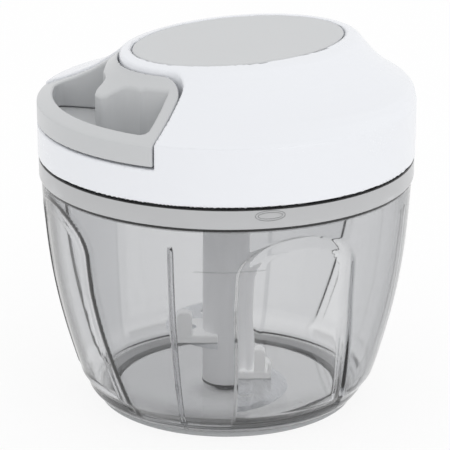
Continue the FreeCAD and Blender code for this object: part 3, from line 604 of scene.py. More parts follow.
def lid_form(x, y, z, inset, edge):
    """The lid's outer form as a full body: wall, shoulder and flat tilted top."""
    front = smooth_step(FRONT_FROM_Y, FRONT_TO_Y, y)
    lift = 0.0
    for turn in range(4):
        height = (z - LID_Z - LID_WALL_H - lift) / (TOP_H - LID_WALL_H)
        side_share = np.interp(height, share_steps, side_table)
        share = (1 - front) * side_share + front * np.interp(height, share_steps, front_table)
        lift = (y - share * TOP_BACK) * np.tan(TOP_TILT * share)
    half_x = LID_R + share * (TOP_B - LID_R)
    half_y = LID_R + share * (TOP_A - LID_R)
    around = oval_distance(x, y - share * TOP_BACK, half_x, half_y)
    side_lean = np.interp(height, share_steps, np.gradient(side_table, share_steps))
    front_lean = np.interp(height, share_steps, np.gradient(front_table, share_steps))
    lean = (1 - front) * side_lean + front * front_lean
    lean = lean * (LID_R - (TOP_A + TOP_B) / 2) / (TOP_H - LID_WALL_H)
    return trimmed(around / np.sqrt(1.0 + lean**2) + inset, above_top(y, z) + inset, edge)


def pocket_form(x, y, outset, corner):
    """The pocket in plan, outside positive: between two planes and outside the oval."""
    apex = outset / math.sin(POCKET_HALF)
    left = -x * math.cos(POCKET_HALF) + (y - apex) * math.sin(POCKET_HALF)
    right = x * math.cos(POCKET_HALF) + (y - apex) * math.sin(POCKET_HALF)
    half_x = TOP_B + POCKET_BACK - outset
    half_y = TOP_PLAN_A + POCKET_BACK - outset
    back = -oval_distance(x, y - TOP_BACK, half_x, half_y)
    return trimmed(np.maximum(left, right), back, corner)


def step_ends(field, axis):
    """A field's values at the two ends of each step along one axis."""
    first = [slice(None)] * 3
    second = [slice(None)] * 3
    first[axis] = slice(None, -1)
    second[axis] = slice(1, None)
    return field[tuple(first)], field[tuple(second)]


def cells_beside(spots, axes, back):
    """The cells that lie `back` steps before each spot, 0 or 1 along each of two axes."""
    cells = spots.copy()
    cells[:, axes] -= back
    return tuple(cells.T)


def cast(name, solid, low, high, pitch, finish, body, slot, *nodes):
    """A mesh of the surface where a signed distance is nought, in cells of one pitch (millimetres)."""
    axes = [np.arange(a - pitch, b + 2 * pitch, pitch) for a, b in zip(low, high)]
    values = solid(*np.meshgrid(*axes, indexing="ij"))
    within = values < 0
    cells = np.zeros(tuple(n - 1 for n in values.shape), int)
    total = np.zeros(cells.shape + (3,))
    crossings = np.zeros(cells.shape)
    for axis in range(3):
        a, b = step_ends(values, axis)
        a_within, b_within = step_ends(within, axis)
        cross = a_within != b_within
        spots = np.argwhere(cross)
        place = spots.astype(float)
        place[:, axis] += a[cross] / (a[cross] - b[cross])
        others = [n for n in range(3) if n != axis]
        for back in ((0, 0), (0, 1), (1, 0), (1, 1)):
            index = cells_beside(spots, others, back)
            np.add.at(total, index, place)
            np.add.at(crossings, index, 1)
    used = crossings > 0
    cells[used] = np.arange(used.sum())
    points = np.stack([axis[0] for axis in axes]) + total[used] / crossings[used][:, None] * pitch
    faces = []
    for axis in range(3):
        others = [(axis + 1) % 3, (axis + 2) % 3]
        a, b = step_ends(within, axis)
        for flip, chosen in ((False, a & ~b), (True, ~a & b)):
            spots = np.argwhere(chosen)
            loop = ((1, 1), (0, 1), (0, 0), (1, 0))
            quads = np.stack([cells[cells_beside(spots, others, back)] for back in loop], 1)
            faces.append(quads[:, ::-1] if flip else quads)
    for sweep in range(6):
        value = solid(*points.T)
        nudge = pitch * 0.05
        slope = np.stack([(solid(*(points + step).T) - value) / nudge for step in np.eye(3) * nudge], 1)
        move = -slope * (value / np.maximum((slope**2).sum(1), 1e-3))[:, None]
        length = np.linalg.norm(move, axis=1)
        points = points + move * np.minimum(1.0, pitch * 0.5 / np.maximum(length, 1e-9))[:, None]
    piece = mesh_piece(name, points, np.concatenate(faces), finish, body, slot, *nodes)
    normal = slope / np.maximum(np.linalg.norm(slope, axis=1), 1e-9)[:, None]
    piece.data.normals_split_custom_set_from_vertices([tuple(n) for n in normal])
    return piece


def lid_solid(x, y, z):
    outer = lid_form(x, y, z, 0.0, 1.1)
    inner = lid_form(x, y, z + PAD_T, LID_T, 1.0)
    pocket = trimmed(pocket_form(x, y, 0.0, POCKET_CORNER_R), POCKET_Z - z, 0.6)
    pocket_wall = trimmed(pocket_form(x, y, POCKET_T, POCKET_CORNER_R), POCKET_Z - POCKET_T - z, 0.6)
    body = trimmed(outer, -np.maximum(inner, -pocket_wall), 0.3)
    body = trimmed(body, -pocket, 0.55)
    body = trimmed(body, LID_Z - z, 0.5)
    seat = oval_distance(x, y - TOP_BACK, TOP_B - PAD_BORDER, TOP_A - PAD_BORDER)
    return trimmed(body, -np.maximum(seat, -(above_top(y, z) + PAD_T)), 0.35)


white = Finish("white plastic", (0.835, 0.85, 0.885), 0.25)
white.moulded(0.0005, 0.000004, 0.2, 0.32)
lid_box = ((-LID_R, -LID_R, LID_Z), (LID_R, LID_R, TOP_Z + 2))
cast("lid", lid_solid, *lid_box, 0.9, white, "lid", "lid_white", "lid_shell")

# ---------------------------------------------------------------- pad
# The soft-touch oval pad: a thin inlay of grey plastic, a little crowned. It is pressed into the
# seat in the lid's top and left bare.
PAD_GAP = 0.15
PAD_ROUND = 0.25
PAD_LOW = 0.1
PAD_PROFILE = [(0.6, -1.1), (0.1, -0.9), (0.0, -0.35), (0.12, -0.12), (0.4, 0.0), (1.0, 0.03), (2.5, 0.05),
               (6.0, 0.07), (14.0, 0.1), (24.0, 0.12)]
turns = np.linspace(0, 2 * math.pi, 200, endpoint=False)
points = []
for inset, rise in PAD_PROFILE:
    across = (TOP_B - PAD_BORDER - PAD_GAP - PAD_ROUND - inset) * np.cos(turns)
    along = (TOP_A - PAD_BORDER - PAD_GAP - PAD_ROUND - inset) * np.sin(turns)
    lifted = TOP_Z + rise - PAD_LOW + along * math.sin(TOP_TILT)
    points += [*np.column_stack([across, TOP_BACK + along * math.cos(TOP_TILT), lifted])]
faces = ring_faces(len(PAD_PROFILE), len(turns), capped=True)
soft = Finish("grey soft touch", (0.6, 0.61, 0.62), 0.5)
soft.moulded(0.0003, 0.000008, 0.42, 0.56)
mesh_piece("pad", points, faces, soft, "lid", "pad_grey", "top_pad")

# ---------------------------------------------------------------- pocket liner
# A flat plate moulded in grey plastic, with a matt face. It is pressed onto the pocket's floor,
# under the handle.
LINER_T = 1.1
LINER_R = LID_R - 4.0
HANDLE_GAP = 0.35


def liner_solid(x, y, z):
    plan = trimmed(pocket_form(x, y, -HANDLE_GAP, POCKET_CORNER_R), np.hypot(x, y) - LINER_R, 0.3)
    return trimmed(plan, np.maximum(POCKET_Z - z, z - POCKET_Z - LINER_T), 0.2)


liner = Finish("grey liner", (0.58, 0.59, 0.6), 0.5)
liner.moulded(0.0004, 0.00001, 0.45, 0.6)
liner_box = ((-44, -63, POCKET_Z), (44, -26, POCKET_Z + LINER_T))
cast("pocket_liner", liner_solid, *liner_box, 0.5, liner, "lid", "liner_grey", "dock_liner")

# ---------------------------------------------------------------- handle
# The pull handle: a loop moulded in satin grey plastic whose outside carries on the lid's own
# form. A flared boss on its back plate holds the knot of the cord.
HANDLE_Z = POCKET_Z + LINER_T + 0.2
BAR_DEPTH = 5.6
ARM_T = 4.6
BACK_T = 3.4
BOSS_REACH = 7.9
NOSE_HALF_W = 4.4
NOSE_AT_X = 0.9
SIDE_GAP = 0.25
FLARE_R = 9.5
KNOT_R = 2.7
CORD_R = 1.0
CORD_Z = LID_Z + 21.0
HANDLE_CORNER_R = 8.0
HANDLE_SINK = 0.8
SKIRT_H = 0.5
HANDLE_BACK_Y = TOP_BACK - TOP_PLAN_A - POCKET_BACK - HANDLE_GAP
KNOT_Y = HANDLE_BACK_Y - BACK_T - KNOT_R
KNOT_ROOM = 0.2
CORD_ROOM = 0.3


def handle_opening(x, y):
    """The finger opening in plan, with the cord's boss left standing in it."""
    sides = pocket_form(x, y, -HANDLE_GAP - ARM_T, 0.1)
    half_x = TOP_B + POCKET_BACK + HANDLE_GAP + BACK_T
    half_y = TOP_PLAN_A + POCKET_BACK + HANDLE_GAP + BACK_T
    back = -oval_distance(x, y - TOP_BACK, half_x, half_y)
    front = np.hypot(x, y) - (LID_R - BAR_DEPTH)
    plan = trimmed(trimmed(sides, back, 2.5), front, 3.0)
    nose = HANDLE_BACK_Y - BACK_T - BOSS_REACH
    aside = np.abs(x - NOSE_AT_X) - NOSE_HALF_W - FLARE_R
    flare = FLARE_R - np.hypot(aside, y - nose)
    boss = trimmed(np.maximum(flare, aside), nose - y, 3.0)
    return trimmed(plan, -boss, 2.0)


def handle_solid(x, y, z):
    plan = pocket_form(x, y, -HANDLE_GAP - SIDE_GAP, HANDLE_CORNER_R)
    body = trimmed(lid_form(x, y, z + HANDLE_SINK, 0.0, 1.0), plan, 0.7)
    skirt = SKIRT_H * smooth_step(LINER_R + 0.3, LINER_R + 0.8, np.hypot(x, y))
    body = trimmed(body, HANDLE_Z - skirt - z, 0.35)
    body = trimmed(body, -handle_opening(x, y), 0.9)
    room = KNOT_R + KNOT_ROOM
    cavity = trimmed(np.hypot(x, y - KNOT_Y) - room, z - CORD_Z - room, 0.5)
    lead = np.maximum(np.hypot(x, z - CORD_Z) - CORD_R - CORD_ROOM, KNOT_Y - y)
    return trimmed(body, -np.minimum(cavity, lead), 0.25)


grip = Finish("grey handle plastic", (0.565, 0.575, 0.585), 0.3)
grip.moulded(0.0004, 0.000005, 0.24, 0.36)
handle_box = ((-50, -66, HANDLE_Z - SKIRT_H), (50, -26, TOP_Z))
cast("handle", handle_solid, *handle_box, 0.5, grip, "handle", "handle_grey", "pull_handle")

# ---------------------------------------------------------------- blade unit
# A pale grey plastic shaft with a bush in its foot turns on the floor's pin. Two arms at different
# heights go through it, each with an upright block and a small lip, and carry a riveted blade.
BAR_TURN = math.radians(62.0)
BAR_Z = 6.2
BAR_T = 2.9
BAR_STEP = 13.9
BAR_HALF = 8.8
BAR_ROOT = 3.0
BAR_CORNER_R = 8.0
LOWER_REACH = 16.3
UPPER_REACH = 18.3
LOWER_BLOCK_AT = 11.3
UPPER_BLOCK_AT = 14.9
LIP_T = 1.4
LIP_W = 2.4
LIP_H = 3.1
BLOCK_HALF = 2.8
BLOCK_W = 4.6
BLOCK_H = 8.6
CORE_R = 7.0
BLADE_T = 0.8
BLADE_R = 25.3
BLADE_OFFSET = 12.3
BLADE_SWEEP = math.radians(105.5)
BLADE_HOLE_AT = 23.6
BLADE_HOLE_TURN = math.radians(-72.3)
BLADE_HOLE_R = 2.6
GROUND_W = 2.6
EDGE_T = 0.12
BUSH_R = 4.45
RIVET_AT = 12.5


def brick(x, y, z, low, high, edge):
    """Signed distance to a box with rounded edges."""
    reach = [np.abs(v - (a + b) / 2) - (b - a) / 2 + edge for v, a, b in zip((x, y, z), low, high)]
    outside = np.sqrt(sum(np.maximum(v, 0.0) ** 2 for v in reach))
    return outside + np.minimum(np.maximum(np.maximum(reach[0], reach[1]), reach[2]), 0.0) - edge


def arm_solid(x, y, z, low, reach, block_at):
    """One arm along +x, with its front on -y."""
    top = low + BAR_T
    plate = brick(x, y, z, (BAR_ROOT, -BAR_HALF, low), (reach, BAR_HALF, top), 0.35)
    past_x = np.maximum(x - reach + BAR_CORNER_R, 0.0)
    past_y = np.maximum(y - BAR_HALF + BAR_CORNER_R, 0.0)
    plate = trimmed(plate, np.hypot(past_x, past_y) - BAR_CORNER_R, 0.35)
    lip_end = (reach, LIP_W - BAR_HALF, top + LIP_H)
    lip = brick(x, y, z, (reach - LIP_T, -BAR_HALF, top - 1.0), lip_end, 0.35)
    block_end = (block_at + BLOCK_HALF, BLOCK_W - BAR_HALF, top + BLOCK_H)
    block = brick(x, y, z, (block_at - BLOCK_HALF, -BAR_HALF, top - 1.0), block_end, 0.45)
    crown_end = (block_at + BLOCK_HALF, 9.0, top + BLOCK_H)
    crown = brick(x, 0.0, z, (block_at - BLOCK_HALF, -9.0, 0.0), crown_end, 2.2)
    return joined(joined(plate, lip, 0.2), np.maximum(block, crown), 0.3)


def bar_solid(x, y, z):
    along = x * math.cos(BAR_TURN) + y * math.sin(BAR_TURN)
    aside = y * math.cos(BAR_TURN) - x * math.sin(BAR_TURN)
    lower = arm_solid(along, aside, z, BAR_Z, LOWER_REACH, LOWER_BLOCK_AT)
    upper = arm_solid(-along, aside, z, BAR_Z + BAR_STEP, UPPER_REACH, UPPER_BLOCK_AT)
    half_h = (BAR_STEP + BAR_T) / 2
    core = np.maximum(np.hypot(x, y) - CORE_R, np.abs(z - BAR_Z - half_h) - half_h)
    body = np.minimum(np.minimum(lower, upper), core)
    return np.maximum(body, BUSH_R - np.hypot(x, y))


def dress(node, finish):
    """Gives a CAD node a finish of its own."""
    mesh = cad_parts[node].data
    mesh.materials.clear()
    mesh.materials.append(finish.material)


PALE_TONE = (0.82, 0.82, 0.83)
BLACK = (0.0, 0.0, 0.0)
SHAFT_SHADE_TOP_Z = 3.9
# Painted light and shade: the shaft glows, more towards its foot, and its foot is painted near-black for the
# shadow under it.
pale = Finish("pale grey plastic", PALE_TONE, 0.4, Emission_Strength=1.0)
pale.moulded(0.0005, 0.000006, 0.34, 0.5)
height = pale.height()
foot_shade = height.below(SHAFT_SHADE_TOP_Z * MM)
pale.set("Base Color", pale.between(foot_shade, PALE_TONE, (0.05, 0.05, 0.05)))
rising = pale.node("ShaderNodeMapRange", {}, height, 10.0 * MM, 80.0 * MM, 0.0, 1.0)
shaft_painted_light = pale.between(rising, (0.17, 0.17, 0.17), (0.05, 0.05, 0.05))
pale.set("Emission Color", pale.between(foot_shade, shaft_painted_light, BLACK))
dress("blade_spindle", pale)
# Painted light: the arms, blocks and bush glow, more on the faces that look up.
bar_white = Finish("off-white plastic", (0.58, 0.58, 0.58), 0.3, Emission_Strength=1.0)
normal = bar_white.node("ShaderNodeTexCoord", {}, output=1)
upward = bar_white.node("ShaderNodeSeparateXYZ", {}, normal, output=2)
bar_painted_light = bar_white.between(0.5 + 0.5 * upward, (0.14, 0.14, 0.14), (0.42, 0.42, 0.42))
bar_white.set("Emission Color", bar_painted_light)
bar_white.moulded(0.0005, 0.000006, 0.3, 0.45)
dress("foot_bush", bar_white)
bar_box = ((-19, -19, BAR_Z), (19, 19, 32))
cast("cross_bar_moulded", bar_solid, *bar_box, 0.6, bar_white, "spindle", "bar_plastic", "cross_bar")

steel = Finish("ground steel", (0.78, 0.79, 0.81), 0.24, Metallic=1.0)
grain = steel.node("ShaderNodeMapping", {}, steel.place(), None, None, (30.0, 900.0, 900.0))
scratches = steel.node("ShaderNodeTexNoise", {}, grain, 6.0, 3.0, 0.6)
steel.set("Roughness", 0.16 + 0.2 * scratches)
steel.bump(scratches, 0.000004)
pin_steel = Finish("polished steel", (0.8, 0.81, 0.83), 0.12, Metallic=1.0)
pin_steel.set("Roughness", 0.08 + 0.1 * pin_steel.noise(300.0))
dress("pivot_pin", pin_steel)


def sheet(points, outline, hole, upward):
    """Triangles that fill an outline round a hole, both given as lists of point numbers."""
    numbers = outline + hole[::-1]
    loops = [[Vector(points[k]) for k in outline], [Vector(points[k]) for k in hole[::-1]]]
    faces = []
    for triangle in tessellate_polygon(loops):
        corner = [numbers[k] for k in triangle]
        p, q, r = (Vector(points[k]) for k in corner)
        faces.append(tuple(corner if ((q - p).cross(r - p).z > 0) == upward else corner[::-1]))
    return faces


def arc(centre_x, centre_y, radius, turns):
    return [(centre_x + radius * math.cos(a), centre_y + radius * math.sin(a)) for a in turns]


def blade_piece(name, turn, low, node):
    """A thin plate with a hole and a ground round edge, under an arm that points along `turn`."""
    centre = (BLADE_OFFSET * math.cos(-BLADE_SWEEP), BLADE_OFFSET * math.sin(-BLADE_SWEEP))
    outlines = []
    for radius in (BLADE_R, BLADE_R - GROUND_W):
        half = math.acos((BAR_ROOT - centre[0]) / radius)
        outlines.append(arc(*centre, radius, np.linspace(-half, half, 61)))
    edge, ground = outlines
    notch = math.acos(BAR_ROOT / BUSH_R)
    bore = arc(0.0, 0.0, BUSH_R, np.linspace(notch, -notch, 9))
    hole_x = BLADE_HOLE_AT * math.cos(BLADE_HOLE_TURN)
    hole_y = BLADE_HOLE_AT * math.sin(BLADE_HOLE_TURN)
    hole = arc(hole_x, hole_y, BLADE_HOLE_R, np.linspace(0, 2 * math.pi, 28, endpoint=False))
    levels = [(edge + bore, low), (edge + bore, low + EDGE_T), (ground + bore, low + BLADE_T)]
    levels += [(hole, low), (hole, low + BLADE_T)]
    points = [(x, y, z) for outline, z in levels for x, y in outline]
    count = len(edge) + len(bore)
    faces = ring_faces(3, count)
    first = 3 * count
    sides = len(hole)
    faces += quads_between(first + sides, first, sides)
    lower_hole = list(range(first, first + sides))
    upper_hole = list(range(first + sides, first + 2 * sides))
    faces += sheet(points, list(range(count)), lower_hole, False)
    faces += sheet(points, list(range(2 * count, first)), upper_hole, True)
    cos, sin = math.cos(turn), math.sin(turn)
    points = [(x * cos - y * sin, x * sin + y * cos, z) for x, y, z in points]
    piece = mesh_piece(name, points, faces, steel, "spindle", "blade_steel", node)
    piece.data.set_sharp_from_angle(angle=math.radians(12))


blade_piece("lower_blade_plate", BAR_TURN, BAR_Z - BLADE_T, "lower_blade")
blade_piece("upper_blade_plate", BAR_TURN + math.pi, BAR_Z + BAR_STEP - BLADE_T, "upper_blade")


class Growth:
    """A Geometry Nodes tree with named inputs, run once on some points and kept as a plain mesh."""

    def __init__(self, name, **inputs):
        self.name = name
        self.tree = bpy.data.node_groups.new(name, "GeometryNodeTree")
        sockets = self.tree.interface
        sockets.new_socket("Geometry", in_out="INPUT", socket_type="NodeSocketGeometry")
        sockets.new_socket("Geometry", in_out="OUTPUT", socket_type="NodeSocketGeometry")
        kinds = {float: "NodeSocketFloat", int: "NodeSocketInt", bpy.types.Object: "NodeSocketObject"}
        self.values = {}
        for label, value in inputs.items():
            made = sockets.new_socket(label.replace("_", " "), in_out="INPUT", socket_type=kinds[type(value)])
            self.values[made.identifier] = value
        self.enter = self.tree.nodes.new("NodeGroupInput")

    def given(self, label):
        return self.enter.outputs[label]

    def node(self, kind, settings, **values):
        made = self.tree.nodes.new(kind)
        for key, value in settings.items():
            setattr(made, key, value)
        for label, value in values.items():
            socket = next(s for s in made.inputs if s.enabled and s.name == label.replace("_", " "))
            if isinstance(value, bpy.types.NodeSocket):
                self.tree.links.new(value, socket)
            else:
                socket.default_value = value
        return next(s for s in made.outputs if s.enabled)

    def grow(self, last, points, facing, finish, body, slot, *nodes):
        real = self.node("GeometryNodeRealizeInstances", {}, Geometry=last)
        done = self.node("GeometryNodeSetMaterial", {}, Geometry=real, Material=finish.material)
        leave = self.tree.nodes.new("NodeGroupOutput")
        self.tree.links.new(done, leave.inputs["Geometry"])
        seed = bpy.data.meshes.new(self.name + "_points")
        seed.from_pydata([tuple(p) for p in np.asarray(points, float) * MM], [], [])
        direction = seed.attributes.new("facing", "FLOAT_VECTOR", "POINT")
        direction.data.foreach_set("vector", np.asarray(facing, float).ravel())
        holder = placed(self.name, seed)
        modifier = holder.modifiers.new("grow", "NODES")
        modifier.node_group = self.tree
        for identifier, value in self.values.items():
            modifier[identifier] = value
        grown = holder.evaluated_get(bpy.context.evaluated_depsgraph_get())
        shape = bpy.data.meshes.new_from_object(grown)
        holder.modifiers.clear()
        shape.materials.clear()
        shape.materials.append(finish.material)
        shape.set_sharp_from_angle(angle=math.radians(35))
        holder.data = shape
        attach(holder, body)
        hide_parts(*nodes)


def on_points(growth, instance):
    """Instances of one shape on the given points, turned to face the way each point says."""
    facing = growth.node("GeometryNodeInputNamedAttribute", {"data_type": "FLOAT_VECTOR"}, Name="facing")
    turned = growth.node("FunctionNodeAlignRotationToVector", {"axis": "Z"}, Vector=facing)
    points = growth.given("Geometry")
    return growth.node("GeometryNodeInstanceOnPoints", {}, Points=points, Instance=instance, Rotation=turned)


def rod(growth, edges, radius, length):
    """An upright cylinder on the origin, sized by two of the growth's inputs."""
    sizes = {"Radius": growth.given(radius), "Depth": growth.given(length)}
    return growth.node("GeometryNodeMeshCylinder", {}, Vertices=edges, **sizes)


def ring_spots(radius, degrees, z):
    """Points on a circle round the upright axis."""
    return [(x, y, z) for x, y in arc(0.0, 0.0, radius, [math.radians(a) for a in degrees])]


UP = (0, 0, 1)
DOWN = (0, 0, -1)
rivets = Growth("blade_rivet_heads", Head_radius=0.0019, Head_height=0.0007, Edges=20)
edges, head_radius = rivets.given("Edges"), rivets.given("Head radius")
dome = rivets.node("GeometryNodeMeshUVSphere", {}, Segments=edges, Rings=8, Radius=head_radius)
squash = rivets.node("ShaderNodeCombineXYZ", {}, X=1.0, Y=1.0)
flat = rivets.node("ShaderNodeMath", {"operation": "DIVIDE"}, Value=rivets.given("Head height"))
rivets.tree.links.new(head_radius, flat.node.inputs[1])
rivets.tree.links.new(flat, squash.node.inputs["Z"])
dome = rivets.node("GeometryNodeTransform", {}, Geometry=dome, Scale=squash)
spots = []
for turn, low in ((BAR_TURN, BAR_Z), (BAR_TURN + math.pi, BAR_Z + BAR_STEP)):
    for z in (low - BLADE_T, low + BAR_T):
        spots.append((RIVET_AT * math.cos(turn), RIVET_AT * math.sin(turn), z))
rivets.grow(on_points(rivets, dome), spots, [UP] * 4, pin_steel, "spindle", "steel", "blade_rivets")

# ---------------------------------------------------------------- lid underside
# What closes the lid from below: a white disc with the bearing collar, the plug ring with its four
# bayonet lugs, and a pale silicone seal. Six screws hold the disc to the shell, and five more the
# cover of the drive.
BASE_LOW_Z = LID_Z + 1.0
SPOOL_HALF_H = 4.0
RUN_GAP = 0.3
COVER_T = 2.0
DRIVE_TOP_Z = CORD_Z + SPOOL_HALF_H + RUN_GAP + COVER_T
HEAD_SIDES = 24
HEAD_WALL = 0.6
HEAD_TOP = 0.84
CROSS_FLOOR = 0.7
inner = Finish("white inner plastic", (0.86, 0.87, 0.88), 0.35)
inner.moulded(0.0006, 0.000005, 0.3, 0.42)
for node in ("lid_base", "lid_plug", "spring_cup", "drive_cover"):
    dress(node, inner)
rubber = Finish("pale silicone", (0.84, 0.84, 0.85), 0.5)
rubber.moulded(0.0008, 0.00001, 0.42, 0.6)
dress("lid_seal", rubber)


def screw_head(radius, height, slot_half, slot_width, slot_depth):
    """A pan head with a cross recess, standing on the origin."""
    around = arc(0.0, 0.0, radius, np.linspace(0, 2 * math.pi, HEAD_SIDES, endpoint=False))
    w = slot_width / 2
    quarter = [(slot_half, -w), (slot_half, w), (w, w)]
    cross = []
    for turn in range(4):
        c, d = round(math.cos(turn * math.pi / 2)), round(math.sin(turn * math.pi / 2))
        cross += [(x * c - y * d, x * d + y * c) for x, y in quarter]
    points = [(x, y, 0.0) for x, y in around] + [(x, y, height * HEAD_WALL) for x, y in around]
    points += [(x * HEAD_TOP, y * HEAD_TOP, height) for x, y in around]
    points += [(x, y, height) for x, y in cross]
    points += [(x * CROSS_FLOOR, y * CROSS_FLOOR, height - slot_depth) for x, y in cross]
    faces = ring_faces(3, HEAD_SIDES)
    faces.append(tuple(range(HEAD_SIDES))[::-1])
    slot = 3 * HEAD_SIDES
    deep = slot + len(cross)
    faces += quads_between(deep, slot, len(cross))
    faces.append(tuple(range(deep, deep + len(cross))))
    faces += sheet(points, list(range(2 * HEAD_SIDES, slot)), list(range(slot, deep)), True)
    mesh = bpy.data.meshes.new("screw_head")
    mesh.from_pydata([tuple(p) for p in np.asarray(points) * MM], [], faces)
    return mesh


pan_head = screw_head(radius=2.7, height=1.8, slot_half=1.5, slot_width=0.7, slot_depth=1.1)
pattern = placed("screw_pattern", pan_head)
screw_steel = Finish("zinc-plated steel", (0.72, 0.72, 0.73), 0.3, Metallic=1.0)
screw_steel.set("Roughness", 0.22 + 0.2 * screw_steel.noise(500.0))
screws = Growth("lid_screw_heads", Pattern=pattern, Shank_radius=0.0014, Shank_length=0.006)
unmoved = {"transform_space": "ORIGINAL"}
heads = screws.node("GeometryNodeObjectInfo", unmoved, Object=screws.given("Pattern"))
heads = heads.node.outputs["Geometry"]
shank = rod(screws, 12, "Shank radius", "Shank length")
half_down = screws.node("ShaderNodeMath", {"operation": "MULTIPLY"}, Value=screws.given("Shank length"))
half_down.node.inputs[1].default_value = -0.5
down = screws.node("ShaderNodeCombineXYZ", {}, Z=half_down)
shank = screws.node("GeometryNodeTransform", {}, Geometry=shank, Translation=down)
both = screws.tree.nodes.new("GeometryNodeJoinGeometry")
screws.tree.links.new(heads, both.inputs[0])
screws.tree.links.new(shank, both.inputs[0])
PLUG_R = RIM_IN_R - 2.2
BASE_SCREW_AT = PLUG_R - 1.8 - 6.8
COVER_SCREW_AT = 32.6
spots = ring_spots(BASE_SCREW_AT, (30, 90, 150, 210, 270, 330), BASE_LOW_Z)
spots += ring_spots(COVER_SCREW_AT, (30, 90, 150, 210, 330), DRIVE_TOP_Z)
facing = [DOWN] * 6 + [UP] * 5
screws.grow(on_points(screws, both.outputs[0]), spots, facing, screw_steel, "lid", "steel", "lid_screws")
bpy.data.objects.remove(pattern)

# ---------------------------------------------------------------- drive
# Inside the lid: the cord's drum on a steel axle, the wound spring that takes it back, and a clutch
# of three steel rollers that turns the driver one way. They are plain moulded and bright steel parts.
BASE_T = 2.4
SOCKET_FLOOR_T = 1.6
CLUTCH_H = 3.4
CUP_FLOOR_T = 1.4
ROLLER_AT = 7.5
SPOOL_LOW_Z = CORD_Z - SPOOL_HALF_H
CLUTCH_LOW_Z = BASE_LOW_Z + BASE_T + RUN_GAP + SOCKET_FLOOR_T
CUP_LOW_Z = CLUTCH_LOW_Z + CLUTCH_H + RUN_GAP
drive_white = Finish("white acetal", (0.88, 0.88, 0.87), 0.3)
drive_white.moulded(0.0006, 0.000004, 0.22, 0.38)
for node in ("spool", "drive_socket"):
    dress(node, drive_white)
dress("spool_axle", pin_steel)

strip_sizes = {"Strip_width": 0.0041, "Strip_thickness": 0.00035}
spring = Growth("spring_coil", Turns=9.0, First_radius=0.0066, Last_radius=0.0273, **strip_sizes)
rotations = spring.given("Turns")
spiral = spring.node("GeometryNodeCurveSpiral", {}, Resolution=48, Height=0.0, Rotations=rotations)
for label, value in (("Start Radius", "First radius"), ("End Radius", "Last radius")):
    spring.tree.links.new(spring.given(value), spiral.node.inputs[label])
upright = spring.node("GeometryNodeSetCurveNormal", {"mode": "Z_UP"}, Curve=spiral)
thickness, width = spring.given("Strip thickness"), spring.given("Strip width")
strip = spring.node("GeometryNodeCurvePrimitiveQuadrilateral", {}, Width=thickness, Height=width)
wound = spring.node("GeometryNodeCurveToMesh", {}, Curve=upright)
spring.tree.links.new(strip, wound.node.inputs["Profile Curve"])
wound.node.inputs["Fill Caps"].default_value = True
spring_blue = Finish("tempered spring steel", (0.5, 0.52, 0.56), 0.3, Metallic=1.0)
spring_blue.set("Roughness", 0.24 + 0.16 * spring_blue.noise(400.0))
spots = [(0, 0, (CUP_LOW_Z + CUP_FLOOR_T + RUN_GAP + SPOOL_LOW_Z - RUN_GAP) / 2)]
spring.grow(on_points(spring, wound), spots, [UP], spring_blue, "lid", "spring_steel", "recoil_spring")

rollers = Growth("clutch_roller_set", Radius=0.00145, Length=0.0028, Edges=28)
roller = rod(rollers, rollers.given("Edges"), "Radius", "Length")
spots = ring_spots(ROLLER_AT, (0, 120, 240), CLUTCH_LOW_Z + CLUTCH_H / 2)
rollers.grow(on_points(rollers, roller), spots, [UP] * 3, pin_steel, "spool", "steel", "clutch_rollers")

# ---------------------------------------------------------------- cord
# A round braided nylon cord, 2 mm thick. It winds off the drum, leaves the pocket's back wall by a
# small plated eyelet and ends in a knot inside the handle's boss. The handle draws it out.
COIL_R = 20.2
POCKET_WALL_Y = HANDLE_BACK_Y + HANDLE_GAP
EYE_Y = POCKET_WALL_Y + 6.6
COIL_TURNS = 2.6
COIL_STEPS = 260
COIL_RISE = 3.0
KNOT_SIZE = 0.56
KNOT_DEPTH = 0.85
KNOT_CORD_R = 0.85
plated = Finish("nickel-plated eyelet", (0.76, 0.75, 0.72), 0.25, Metallic=1.0)
plated.set("Roughness", 0.18 + 0.14 * plated.noise(600.0))
dress("cord_eyelet", plated)

nylon = Finish("white braided nylon", (0.8, 0.8, 0.79), 0.6)


def braid(finish, strands, pitch):
    """Two sets of strands that cross at an angle, from where a place is in the weave."""
    place = finish.place()
    x, y, z = (finish.node("ShaderNodeSeparateXYZ", {}, place, output=axis) for axis in range(3))
    around = x.math("ARCTAN2", z - CORD_Z * MM)
    along = y * (2 * math.pi / pitch)
    first = (around * strands + along).math("SINE")
    second = (around * strands - along).math("SINE")
    height = 0.5 + 0.25 * (first + second)
    finish.bump(height, 0.00012, 0.8)
    # Painted shade: the colour darkens towards the troughs between the strands.
    finish.set("Base Color", finish.between(height, (0.6, 0.6, 0.59), (0.86, 0.86, 0.85)))


braid(nylon, 6.0, 0.0016)


def cord_tube(name, line, radius, body, *nodes, edges=14, closed=False, finish=nylon, slot="cord"):
    """A round cord along a line of points in millimetres."""
    line = np.asarray(line, float)
    if closed:
        along = np.roll(line, -1, 0) - np.roll(line, 1, 0)
    else:
        along = np.gradient(line, axis=0)
    along /= np.linalg.norm(along, axis=1)[:, None]
    side = np.cross(along[0], (0.0, 0.0, 1.0) if abs(along[0][2]) < 0.9 else (1.0, 0.0, 0.0))
    points = []
    for place, way in zip(line, along):
        side = side - way * side.dot(way)
        side /= np.linalg.norm(side)
        up = np.cross(side, way)
        for k in range(edges):
            turn = 2 * math.pi * k / edges
            points.append(place + radius * (math.cos(turn) * side + math.sin(turn) * up))
    faces = ring_faces(len(line), edges, capped=not closed)
    if closed:
        last = (len(line) - 1) * edges
        gaps = [np.linalg.norm(points[last] - points[k]) for k in range(edges)]
        faces += quads_between(last, 0, edges, int(np.argmin(gaps)))
    return mesh_piece(name, points, faces, finish, body, slot, *nodes)


